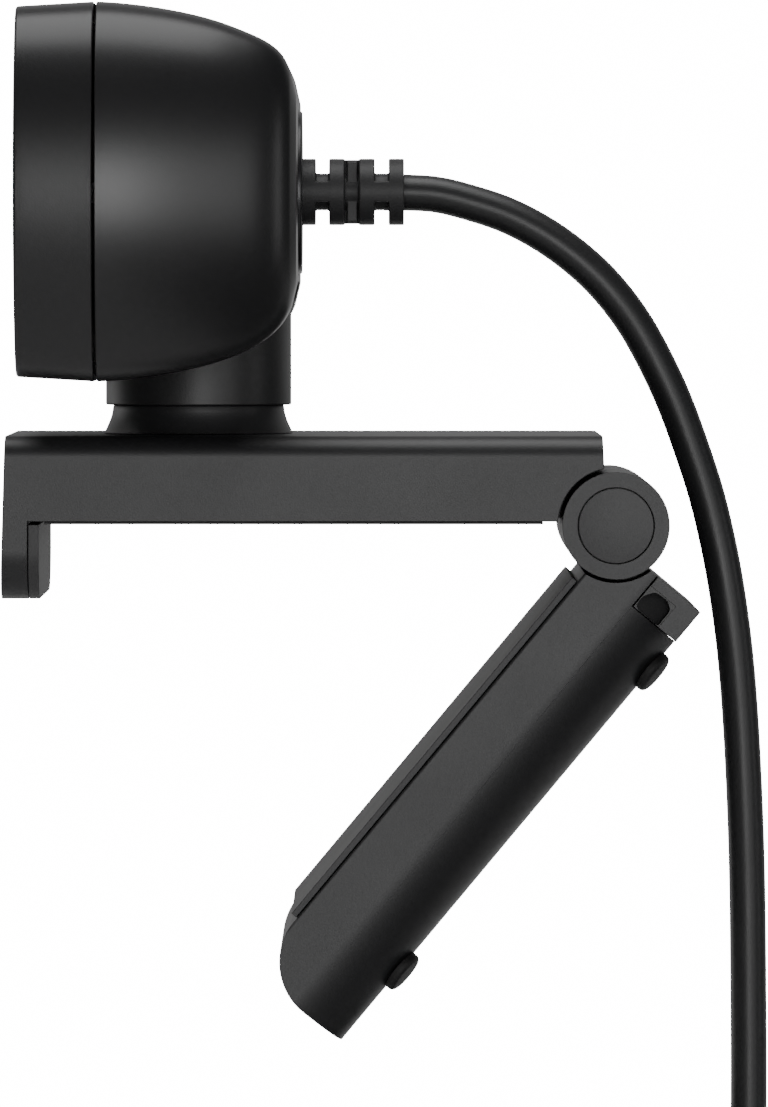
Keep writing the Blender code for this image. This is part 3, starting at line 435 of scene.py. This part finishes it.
# ---------------------------------------------------------------- head casing
HEAD_Z = 0.0377
HALF_STRAIGHT = 0.0285
END_DEPTH = 0.0105
WALL = 0.0017
SEAM_Y = -0.01105
SEAM_HALF = 0.0214
RIM_Y = -0.0200
RIM_HALF = 0.0209
GAP = 0.0003
REAR_FACE_Y = 0.0116
REAR_DEPTH = 0.0227
REAR_FULLNESS = 1.5
HALF_FULLNESS = 5.8
REAR_FACE_HALF = 0.0102
CROWN = 0.047
CROWN_START = 0.0045
CROWN_RUN = 0.0055
SLOT_HALF = 0.0116
SLOT_FRONT = -0.0142
SLOT_REAR = 0.016
SLOT_TOP = 0.0276
RIM_EDGE = 0.00035
SEAM_EDGE = 0.00012
WINDOW_LIP = 0.0019
PLATE_RADIUS = 0.0094
PLATE_LOW = 0.0110
PLATE_THICKNESS = 0.00104
CORD_HOLE = 0.0026
CORD_Z = 0.03785


def end_reach(x, z):
    """How far the head's squashed end reaches at a point of its round outline."""
    radius = math.hypot(x, z)
    return x / radius * END_DEPTH * (radius / SEAM_HALF) ** 2 if radius > 1e-6 else 0.0


def casing(name, profile, crown=0.0):
    """A casing swept from its (Y, half height) profile round the head's squashed ends; crown lifts its top."""
    bm = bmesh.new()
    points = [bm.verts.new((0.0, y, half)) for y, half in profile]
    edges = [bm.edges.new(pair) for pair in zip(points, points[1:])]
    bmesh.ops.spin(bm, geom=points + edges, axis=(0, 1, 0), cent=(0, 0, 0), angle=math.pi, steps=40)
    bmesh.ops.remove_doubles(bm, verts=bm.verts, dist=1e-6)
    open_edges = [edge for edge in bm.edges if all(abs(end.co.x) < 1e-6 for end in edge.verts)]
    for vert in bm.verts:
        vert.co.x = HALF_STRAIGHT + end_reach(vert.co.x, vert.co.z)
        if vert.co.z > 0:
            vert.co.z *= 1 + crown * min(max((vert.co.y - CROWN_START) / CROWN_RUN, 0.0), 1.0) ** 2
    middle = bmesh.ops.extrude_edge_only(bm, edges=open_edges)["geom"]
    for vert in (item for item in middle if isinstance(item, bmesh.types.BMVert)):
        vert.co.x = 0.0
    bmesh.ops.recalc_face_normals(bm, faces=bm.faces)
    if sum(face.normal.z * face.calc_center_median().z for face in bm.faces) < 0:
        bmesh.ops.reverse_faces(bm, faces=bm.faces)
    bmesh.ops.translate(bm, verts=bm.verts, vec=(0, 0, HEAD_Z))
    shell = put_mesh(name, bm)
    mirror = shell.modifiers.new("mirror", "MIRROR")
    mirror.merge_threshold = 1e-5
    wall = shell.modifiers.new("wall", "SOLIDIFY")
    wall.thickness = WALL
    wall.offset = -1.0
    wall.use_even_offset = True
    return bake(shell)


def neck_slot():
    """A tool for the opening in the head's underside that the stem stands in."""
    return block("neck_slot", (-SLOT_HALF, SLOT_FRONT, 0.010), (SLOT_HALF, SLOT_REAR, SLOT_TOP), 0.0025, 4)


def make_bezel():
    """The front casing: a soft rim round the window, and sides that widen to the seam."""
    front_of_seam = SEAM_Y - GAP / 2
    rim = arc((RIM_Y + RIM_EDGE, RIM_HALF - RIM_EDGE), RIM_EDGE, 180, 93, 5)
    side = []
    run = RIM_Y + 0.0004 - SEAM_Y
    for step in range(1, 8):
        left = 1 - step / 8
        side.append((front_of_seam + run * left, SEAM_HALF + (RIM_HALF - SEAM_HALF) * left))
    edge = [(front_of_seam - SEAM_EDGE, SEAM_HALF), (front_of_seam, SEAM_HALF - SEAM_EDGE)]
    bezel = casing("bezel_skin", [(RIM_Y, RIM_HALF - WINDOW_LIP), *rim, *side, *edge])
    boolean(bezel, neck_slot())
    sharpen(bezel)
    weighted(bezel)
    dress(bezel, LOOKS["head_shell"], "head", ("bezel",))


def rear_profile():
    """A full curve from the seam to the flat rear face."""
    profile = [(SEAM_Y + GAP / 2, SEAM_HALF - SEAM_EDGE)]
    steps = 40
    for step in range(steps + 1):
        angle = math.radians(1.0 + 75.5 * step / steps)
        y = SEAM_Y + GAP / 2 + REAR_DEPTH * math.sin(angle) ** (2 / REAR_FULLNESS)
        profile.append((min(y, REAR_FACE_Y - 0.0001), SEAM_HALF * math.cos(angle) ** (2 / HALF_FULLNESS)))
    profile += [(REAR_FACE_Y - 0.00003, REAR_FACE_HALF + 0.00025), (REAR_FACE_Y, REAR_FACE_HALF)]
    profile.append((REAR_FACE_Y, 0.0))
    return profile


def drill(name, radius, place, low, high):
    """A round tool along +Y from a place."""
    return lathe(name, [(0, low), (radius, low), (radius, high), (0, high)], place, closed=False)


def make_rear():
    """The rear casing with its recess, the round plate in it and the hole for the cord."""
    rear = casing("rear_shell_skin", rear_profile(), crown=CROWN)
    boolean(rear, neck_slot())
    behind = facing((0, REAR_FACE_Y - 0.0009, CORD_Z), (0, 1, 0))
    boolean(rear, drill("recess", PLATE_RADIUS + GAP, behind, 0, 0.004))
    boolean(rear, drill("hole", CORD_HOLE, behind, -0.004, 0.004))
    sharpen(rear)
    weighted(rear)
    dress(rear, LOOKS["head_shell"], "head", ("rear_shell",))
    ring = [(CORD_HOLE, 0), (PLATE_RADIUS, 0), (PLATE_RADIUS, PLATE_THICKNESS), (CORD_HOLE, PLATE_THICKNESS)]
    outline = rounded(ring, [0.0, 0.0, 0.00025, 0.0])
    plate = lathe("rear_plate_skin", outline, facing((0, PLATE_LOW, CORD_Z), (0, 1, 0)))
    sharpen(plate)
    dress(plate, LOOKS["head_shell"], "head", ("rear_plate",))


# ---------------------------------------------------------------- strain relief
RELIEF_Z = 0.03792
CORE = 0.00213
COLLAR = 0.00385
RELIEF_START = 0.0080
RELIEF_END = 0.0238
COLLARS = ((0.01187, 0.0136), (0.01512, 0.0169), (0.0186, 0.0204), (0.02202, RELIEF_END))
# start, end, half width and half height of each web between the collars
WEBS = (
    (0.0131, 0.0156, 0.0050, 0.00115), (0.0165, 0.0190, 0.0006, 0.0037), (0.01722, 0.01838, 0.00185, 0.0037),
    (0.0199, 0.0225, 0.0050, 0.00115),
)
VOXEL = 0.00008


def make_relief():
    """The moulded sleeve: a core with its collars, and the webs between them, blended together."""
    soft = 0.00015
    flange, flange_end = 0.0034, 0.0092
    profile = [(0.0, RELIEF_START), (flange, RELIEF_START), (flange, flange_end), (CORE, flange_end)]
    radii = [0.0, soft, soft, soft]
    for start, stop in COLLARS:
        profile += [(CORE, start), (COLLAR, start), (COLLAR, stop), (CORE, stop)]
        radii += [soft] * 4
    profile[-1] = (0.0, RELIEF_END)
    radii[-1] = 0.0
    base = facing((0, 0, RELIEF_Z), (0, 1, 0))
    relief = lathe("strain_relief_skin", rounded(profile, radii), base, 72, closed=False)
    for start, stop, half_x, half_z in WEBS:
        web = block("web", (-half_x, start, RELIEF_Z - half_z), (half_x, stop, RELIEF_Z + half_z))
        drum = [(0, 0), (COLLAR - 0.00001, 0), (COLLAR - 0.00001, 0.03), (0, 0.03)]
        boolean(web, lathe("drum", drum, base, 72, closed=False), "INTERSECT")
        boolean(relief, web, "UNION")
    remesh = relief.modifiers.new("remesh", "REMESH")
    remesh.mode = "VOXEL"
    remesh.voxel_size = VOXEL
    soften = relief.modifiers.new("soften", "SMOOTH")
    soften.iterations = 2
    soften.factor = 0.5
    thin = relief.modifiers.new("thin", "DECIMATE")
    thin.ratio = 0.35
    bake(relief)
    for face in relief.data.polygons:
        face.use_smooth = True
    dress(relief, LOOKS["relief_rubber"], "head", ("strain_relief",))


# ---------------------------------------------------------------- neck
STEM_RADIUS = 0.01075
STEM_LOW = 0.0133
STEM_TOP = 0.0246
STEM_BORE = 0.0084
STEM_FLOOR = 0.0160
POST = 0.0040
POST_BORE = 0.0018
CONE_BORE = 0.0044
CONE_FOOT = 0.01093
CONE_TOP = 0.00985
CONE_FLARE = 0.00102
ARM_TOP = 0.0100
UP = Matrix.Identity(4)


def make_neck():
    """The stem with the post under it, and the flared ring it turns on."""
    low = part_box("stem")[0].z
    outline = [
        (STEM_BORE, STEM_TOP), (STEM_RADIUS, STEM_TOP), (STEM_RADIUS, STEM_LOW), (POST, STEM_LOW),
        (POST, low), (POST_BORE, low), (POST_BORE, STEM_FLOOR), (STEM_BORE, STEM_FLOOR),
    ]
    corners = [0.0003, 0.0005, 0.00022, 0.0001, 0.0002, 0.0, 0.0, 0.0]
    stem = lathe("stem_skin", rounded(outline, corners), UP, 128)
    sharpen(stem)
    weighted(stem)
    dress(stem, LOOKS["shell"], "neck", ("stem",))
    foot = ARM_TOP + 0.00005
    top = STEM_LOW - 0.00006
    flare = []
    for step in range(10):
        share = step / 10
        radius = CONE_FOOT - CONE_FLARE * math.sin(math.pi / 2 * share)
        flare.append((radius, foot + 0.00003 + (top - ARM_TOP) * share))
    outline = [(CONE_BORE, foot), (CONE_FOOT - 0.00005, foot), *flare, (CONE_TOP, top), (CONE_BORE, top)]
    cone = lathe("swivel_base_skin", outline, UP, 128)
    sharpen(cone)
    dress(cone, LOOKS["shell"], "clip_arm", ("swivel_base",))


# ---------------------------------------------------------------- hinge caps, pads and feet
HINGE = Vector((0.0, 0.04789, -0.00022))
LEG_TURN = math.radians(50.16)
LEG = Matrix.Translation(HINGE) @ Matrix.Rotation(LEG_TURN, 4, "X")
HALF_WIDTH = 0.020
PAD_HALF = 0.0199
UNDERSIDE_HALF = 0.0196
CAP_RADIUS = 0.00428
CAP_DEPTH = 0.0009
LEG_FRONT = -0.0007
LEG_BACK = -0.0139
LEG_LENGTH = 0.06543
LEG_EDGE = 0.0076
FOOT_ALONG = (0.0102, 0.0549)
FOOT_TILT = math.radians(13)
FOOT_RADIUS = 0.0025
FOOT_SOFT = 0.0006
FOOT_WALL = 0.0004
FOOT_HEIGHT = 0.00107


def make_hinge_trim():
    """Flat round caps over the hinge pin's ends."""
    disc = [(0, 0), (CAP_RADIUS, 0), (CAP_RADIUS, CAP_DEPTH), (0, CAP_DEPTH)]
    outline = rounded(disc, [0.0, 0.0, 0.00008, 0.0])
    for name, sign in (("near", 1), ("far", -1)):
        place = facing(HINGE + Vector((sign * (HALF_WIDTH - CAP_DEPTH), 0, 0)), (sign, 0, 0))
        cap = lathe(f"hinge_cap_{name}_skin", outline, place, closed=False)
        sharpen(cap)
        dress(cap, LOOKS["shell"], "leg", (f"hinge_cap_{name}",))


def pad(name, low, high, matrix, body, node, corner=0.0, material="grip_rubber"):
    """A rubber pad with soft edges; corner rounds the two low corners of its outline."""
    bm = bmesh.new()
    bmesh.ops.create_cube(bm, size=1.0)
    low, high = Vector(low), Vector(high)
    bmesh.ops.scale(bm, vec=high - low, verts=bm.verts)
    bmesh.ops.translate(bm, vec=(low + high) / 2, verts=bm.verts)
    if corner:
        edges = [e for e in bm.edges if all(v.co.z < low.z + 1e-6 for v in e.verts)
                 and abs(e.verts[0].co.x - e.verts[1].co.x) < 1e-6]
        bmesh.ops.bevel(bm, geom=edges, offset=corner, segments=12, profile=0.5, affect="EDGES")
    sharp = [e for e in bm.edges if len(e.link_faces) == 2 and e.calc_face_angle() > math.radians(40)]
    bmesh.ops.bevel(bm, geom=sharp, offset=0.00009, segments=2, profile=0.5, affect="EDGES")
    bmesh.ops.transform(bm, matrix=matrix, verts=bm.verts)
    obj = put_mesh(name, bm)
    sharpen(obj, 50)
    weighted(obj)
    dress(obj, LOOKS[material], body, (node,))


def make_pads():
    pad("leg_pad_skin", (-PAD_HALF, -0.0576, -0.00062), (PAD_HALF, -0.0077, 0.0001), LEG, "leg", "leg_pad")
    pad("lip_pad_skin", (-PAD_HALF, -0.01903, -0.0087), (PAD_HALF, -0.01783, -0.0001), UP, "clip_arm",
        "lip_pad", corner=0.0055)
    pad("underside_pad_skin", (-UNDERSIDE_HALF, -0.0172, -0.00006), (UNDERSIDE_HALF, 0.0396, 0.00021), UP,
        "clip_arm", "underside_pad", material="relief_rubber")


def make_feet():
    """Low rubber domes on the leg's rounded rear edges."""
    dome = [(0.0, 0.0), (FOOT_RADIUS, 0.0), (FOOT_RADIUS, FOOT_WALL)]
    dome += arc((FOOT_RADIUS - FOOT_SOFT, FOOT_WALL), FOOT_SOFT, 15, 90, 5)
    dome += [(0.0010, FOOT_HEIGHT - 0.00002), (0.0, FOOT_HEIGHT)]
    for level, along in zip(("upper", "lower"), FOOT_ALONG):
        for side, sign in (("near", 1), ("far", -1)):
            out = Vector((sign * math.sin(FOOT_TILT), 0.0, -math.cos(FOOT_TILT)))
            centre = Vector((sign * (HALF_WIDTH - LEG_EDGE), -along, LEG_BACK + LEG_EDGE))
            seat = centre + out * (LEG_EDGE + 0.0001)
            foot = lathe(f"foot_{level}_{side}_skin", dome, LEG @ facing(seat, out), 48, closed=False)
            sharpen(foot, 40)
            dress(foot, LOOKS["foot"], "leg", (f"foot_{level}_{side}",))


# ---------------------------------------------------------------- leg and the heel's pockets
# side outlines in millimetres: how far along the leg from the hinge's axis, and how far behind that axis
POCKET = (
    (5.72, 7.50), (4.18, 7.50), (2.90, 8.25), (2.80, 10.0), (3.46, 11.0), (4.88, 10.95), (5.75, 11.05),
)
POCKET_FRAME = ((2.65, 7.42), (5.75, 7.42), (5.75, 11.12), (2.65, 11.12))
POCKET_FLOOR = 0.0151
HEEL_SIDE = 0.0196


def extruded(name, outline, axis, low, high):
    """An outline in the leg's own frame, carried along its X or Y axis."""
    bm = bmesh.new()
    lift = (lambda a, b, w: (w, a, b)) if axis == "X" else (lambda a, b, w: (a, w, b))
    face = bm.faces.new([bm.verts.new(lift(a, b, low)) for a, b in outline])
    top = bmesh.ops.extrude_face_region(bm, geom=[face])["geom"]
    corners = [item for item in top if isinstance(item, bmesh.types.BMVert)]
    bmesh.ops.translate(bm, vec=lift(0, 0, high - low), verts=corners)
    bmesh.ops.recalc_face_normals(bm, faces=bm.faces)
    return put_mesh(name, bm)


def prism(name, outline, low, high, corner):
    """A side outline of the leg in millimetres, its corners rounded, carried from one X to another."""
    path = rounded([(-along / 1000, -behind / 1000) for along, behind in outline], corner)
    obj = extruded(name, path, "X", low, high)
    obj.data.transform(LEG)
    return obj


def make_pocket():
    """The rounded pocket in each end of the heel; its floor is a rougher, less reflective copy of the plastic,
    so the recess looks shaded (painted shade).
    """
    for name, sign in (("near", 1), ("far", -1)):
        low, high = sorted((sign * POCKET_FLOOR, sign * HEEL_SIDE))
        frame_piece = prism(f"heel_pocket_{name}", POCKET_FRAME, low, high, 0.0)
        boolean(frame_piece, prism("room", POCKET, low - 0.001, high + 0.001, 0.0009))
        sharpen(frame_piece)
        dress(frame_piece, LOOKS["shell"], "leg")
        # the pocket's floor in the duller pocket material: painted shade in the recess
        low, high = sorted((sign * (POCKET_FLOOR + 0.0001), sign * (POCKET_FLOOR + 0.0012)))
        painted_shade_floor = prism(f"heel_pocket_painted_shade_floor_{name}", POCKET, low, high, 0.0011)
        sharpen(painted_shade_floor)
        dress(painted_shade_floor, LOOKS["pocket"], "leg")


TIP_RADIUS = 0.0074
LEG_SOFT = 0.0003
KNUCKLE_ROOM = 0.0065
BRACKET_ROOM = 0.0121
TONGUE_LOW = -0.0073
TONGUE_HIGH = -0.0042
HEEL_TOP = -0.0014
HEEL_FOOT = -0.0059
LEG_ROOMS = (
    ((-0.022, HEEL_FOOT, -0.0149), (0.022, 0.0020, -0.0072)),
    ((-0.0181, -0.0570, -0.0024), (0.0181, -0.0080, 0.0012)),
    ((-BRACKET_ROOM, -0.0213, TONGUE_LOW), (BRACKET_ROOM, 0.0020, TONGUE_HIGH)),
    ((-BRACKET_ROOM, -0.0061, -0.0149), (BRACKET_ROOM, 0.0020, TONGUE_HIGH)),
    ((-0.0024, -0.0230, -0.0119), (0.0024, -0.0130, -0.0020)),
)


def make_leg():
    """The leg's side outline kept inside its rounded section, with room for its cover, tongue and heel."""
    side = [
        *arc((0, 0), KNUCKLE_ROOM, 186.2, 257.6, 30), (HEEL_TOP, LEG_BACK), (-LEG_LENGTH, LEG_BACK),
        *arc((-LEG_LENGTH + TIP_RADIUS, LEG_FRONT - TIP_RADIUS), TIP_RADIUS, 180, 90, 40),
    ]
    leg = extruded("leg_shell_skin", side, "X", -0.021, 0.021)
    inner = HALF_WIDTH - LEG_EDGE
    across = [
        *arc((-inner, LEG_BACK + LEG_EDGE), LEG_EDGE, 180, 270, 40),
        *arc((inner, LEG_BACK + LEG_EDGE), LEG_EDGE, 270, 360, 40),
        *arc((HALF_WIDTH - LEG_SOFT, LEG_FRONT - LEG_SOFT), LEG_SOFT, 0, 90, 3),
        *arc((LEG_SOFT - HALF_WIDTH, LEG_FRONT - LEG_SOFT), LEG_SOFT, 90, 180, 3),
    ]
    boolean(leg, extruded("across", across, "Y", -LEG_LENGTH - 0.001, 0.0012), "INTERSECT")
    for low, high in LEG_ROOMS:
        boolean(leg, block("room", low, high))
    leg.data.transform(LEG)
    sharpen(leg, 25)
    edge = leg.modifiers.new("edge", "BEVEL")
    edge.width = 0.00015
    edge.segments = 2
    edge.limit_method = "ANGLE"
    edge.angle_limit = math.radians(40)
    edge.harden_normals = True
    weighted(leg)
    dress(leg, LOOKS["shell"], "leg", ("leg_shell",))


make_bezel()
make_rear()
make_leg()
make_pocket()
make_relief()
make_neck()
make_hinge_trim()
make_pads()
make_feet()


# ---------------------------------------------------------------- CAD nodes that stay
BEVELLED = {
    "arm_shell": 0.00018, "hinge_bracket": 0.00015, "usb_shell": 0.0002, "tilt_bracket": 0.0002,
    "camera_board": 0.0001, "board_connector": 0.0002, "wire_plug": 0.0002, "usb_controller": 0.00015,
    "lens_holder": 0.0002,
}
SHARP_ANGLE = math.radians(30)


def smooth_by_angle():
    """A node group that marks an edge sharp where its faces meet at more than the sharp angle."""
    group = bpy.data.node_groups.new("smooth_by_angle", "GeometryNodeTree")
    group.interface.new_socket("Geometry", in_out="INPUT", socket_type="NodeSocketGeometry")
    group.interface.new_socket("Geometry", in_out="OUTPUT", socket_type="NodeSocketGeometry")
    start = group.nodes.new("NodeGroupInput")
    end = group.nodes.new("NodeGroupOutput")
    measure = group.nodes.new("GeometryNodeInputMeshEdgeAngle")
    compare = group.nodes.new("FunctionNodeCompare")
    compare.data_type = "FLOAT"
    compare.operation = "LESS_EQUAL"
    compare.inputs[1].default_value = SHARP_ANGLE
    setter = group.nodes.new("GeometryNodeSetShadeSmooth")
    setter.domain = "EDGE"
    group.links.new(measure.outputs["Unsigned Angle"], compare.inputs[0])
    group.links.new(start.outputs[0], setter.inputs["Geometry"])
    group.links.new(compare.outputs[0], setter.inputs["Shade Smooth"])
    group.links.new(setter.outputs[0], end.inputs[0])
    return group


def keep_node(name, group, bevel=0.0):
    """A CAD node keeps its shape, gets its look, and shades smooth across its facets."""
    obj = NODES[name]
    obj.data.materials.clear()
    obj.data.materials.append(LOOKS[SLOT_OF[name]])
    custom = obj.data.attributes.get("custom_normal")
    if custom:
        obj.data.attributes.remove(custom)
    for face in obj.data.polygons:
        face.use_smooth = True
    weld = obj.modifiers.new("weld", "WELD")
    weld.merge_threshold = 0.000004
    if bevel:
        flat = obj.modifiers.new("planar", "DECIMATE")
        flat.decimate_type = "DISSOLVE"
        flat.angle_limit = math.radians(0.6)
        edge = obj.modifiers.new("edges", "BEVEL")
        edge.width = bevel
        edge.segments = 2
        edge.limit_method = "ANGLE"
        edge.angle_limit = math.radians(40)
    else:
        smooth = obj.modifiers.new("smooth", "NODES")
        smooth.node_group = group
    weighted(obj)


smooth_group = smooth_by_angle()
for node in NODES:
    keep_node(node, smooth_group, BEVELLED.get(node, 0.0))


# ---------------------------------------------------------------- stage
FLOOR_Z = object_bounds()[0].z - 0.004
FLOOR_RADIUS = 1.15
NEAR_LEVEL = 4.0
WHITE_LEVEL = 16.0


def ramp(tree, value, start, end, low, high):
    """A smooth step of a value between two levels."""
    step = tree.nodes.new("ShaderNodeMapRange")
    step.interpolation_type = "SMOOTHSTEP"
    for socket, number in (("From Min", start), ("From Max", end), ("To Min", low), ("To Max", high)):
        step.inputs[socket].default_value = number
    tree.links.new(value, step.inputs["Value"])
    return step.outputs["Result"]


def make_floor():
    """A pale floor that fades to white at its edge; reflections see it darker than the eye does."""
    bm = bmesh.new()
    bmesh.ops.create_circle(bm, cap_ends=True, segments=96, radius=FLOOR_RADIUS)
    bmesh.ops.translate(bm, vec=(0, 0.02, FLOOR_Z), verts=bm.verts)
    floor = put_mesh("floor", bm)
    material = surface("floor", (0.72, 0.72, 0.72), 0.75, 0.03, tone=0.02, specular=0.1)
    tree = material.node_tree
    place = tree.nodes.new("ShaderNodeTexCoord")
    distance = tree.nodes.new("ShaderNodeVectorMath")
    distance.operation = "LENGTH"
    tree.links.new(place.outputs["Object"], distance.inputs[0])
    parts = tree.nodes.new("ShaderNodeSeparateXYZ")
    tree.links.new(place.outputs["Object"], parts.inputs[0])
    glow = tree.nodes.new("ShaderNodeEmission")
    level = ramp(tree, distance.outputs["Value"], 0.15, 0.95, NEAR_LEVEL, WHITE_LEVEL)
    tree.links.new(level, glow.inputs["Strength"])
    backdrop = tree.nodes.new("ShaderNodeEmission")
    tree.links.new(ramp(tree, parts.outputs["X"], -0.20, -0.45, 0.0, 0.5), backdrop.inputs["Strength"])
    black = tree.nodes.new("ShaderNodeBsdfDiffuse")
    black.inputs["Color"].default_value = (0.06, 0.06, 0.06, 1)
    shade = tree.nodes.new("ShaderNodeMixShader")
    corner = tree.nodes.new("ShaderNodeMath")
    corner.operation = "MULTIPLY"
    tree.links.new(ramp(tree, parts.outputs["Y"], 0.05, 0.13, 0.0, 1.0), corner.inputs[0])
    tree.links.new(ramp(tree, parts.outputs["X"], -0.05, 0.03, 0.0, 1.0), corner.inputs[1])
    tree.links.new(corner.outputs[0], shade.inputs[0])
    tree.links.new(tree.nodes["Principled BSDF"].outputs[0], shade.inputs[1])
    tree.links.new(black.outputs[0], shade.inputs[2])
    both = tree.nodes.new("ShaderNodeAddShader")
    tree.links.new(shade.outputs[0], both.inputs[0])
    tree.links.new(backdrop.outputs[0], both.inputs[1])
    path = tree.nodes.new("ShaderNodeLightPath")
    mix = tree.nodes.new("ShaderNodeMixShader")
    tree.links.new(path.outputs["Is Camera Ray"], mix.inputs[0])
    tree.links.new(both.outputs[0], mix.inputs[1])
    tree.links.new(glow.outputs[0], mix.inputs[2])
    tree.links.new(mix.outputs[0], tree.nodes["Material Output"].inputs["Surface"])
    floor.data.materials.append(material)


def softbox(name, place, aim, size, power):
    """An area light: its place, the point it faces, its width and height, and its power in watts."""
    data = bpy.data.lights.new(name, "AREA")
    data.shape = "RECTANGLE"
    data.size, data.size_y = size
    data.energy = power
    obj = bpy.data.objects.new(name, data)
    bpy.context.scene.collection.objects.link(obj)
    obj.location = place
    obj.rotation_euler = (Vector(aim) - Vector(place)).to_track_quat("-Z", "Y").to_euler()
    obj.visible_camera = False


def make_world():
    """White to the eye; reflections see it dark towards +X and bright towards -X."""
    world = bpy.data.worlds.new("studio")
    bpy.context.scene.world = world
    world.use_nodes = True
    tree = world.node_tree
    tree.nodes.clear()
    out = tree.nodes.new("ShaderNodeOutputWorld")
    seen = tree.nodes.new("ShaderNodeBackground")
    seen.inputs["Color"].default_value = (1, 1, 1, 1)
    seen.inputs["Strength"].default_value = WHITE_LEVEL
    around = tree.nodes.new("ShaderNodeBackground")
    around.inputs["Color"].default_value = (1, 1, 1, 1)
    place = tree.nodes.new("ShaderNodeTexCoord")
    split = tree.nodes.new("ShaderNodeSeparateXYZ")
    tree.links.new(place.outputs["Generated"], split.inputs[0])
    behind = ramp(tree, split.outputs["X"], -0.32, -0.8, 0.01, 0.52)
    tree.links.new(behind, around.inputs["Strength"])
    path = tree.nodes.new("ShaderNodeLightPath")
    mix = tree.nodes.new("ShaderNodeMixShader")
    tree.links.new(path.outputs["Is Camera Ray"], mix.inputs[0])
    tree.links.new(around.outputs[0], mix.inputs[1])
    tree.links.new(seen.outputs[0], mix.inputs[2])
    tree.links.new(mix.outputs[0], out.inputs["Surface"])


make_floor()
make_world()
softbox("key", (1.90, 0.10, 0.09), (0, 0.02, 0.0), (0.58, 0.60), 9.0)
softbox("fill", (1.66, 0.94, 0.10), (0, 0.02, 0.0), (1.3, 0.7), 6.0)
softbox("top", (0.11, 0.02, 1.08), (0, 0.02, 0), (0.9, 0.86), 9.6)
softbox("right_side", (0.36, 1.50, 0.0), (0, 0.02, 0), (0.24, 0.8), 1.5)
softbox("front", (-0.25, -1.45, 0.95), (0, 0.0, 0.02), (0.6, 0.6), 5.0)
softbox("left_back", (-0.90, -1.25, 0.1), (0, 0.02, 0), (0.7, 0.6), 1.6)
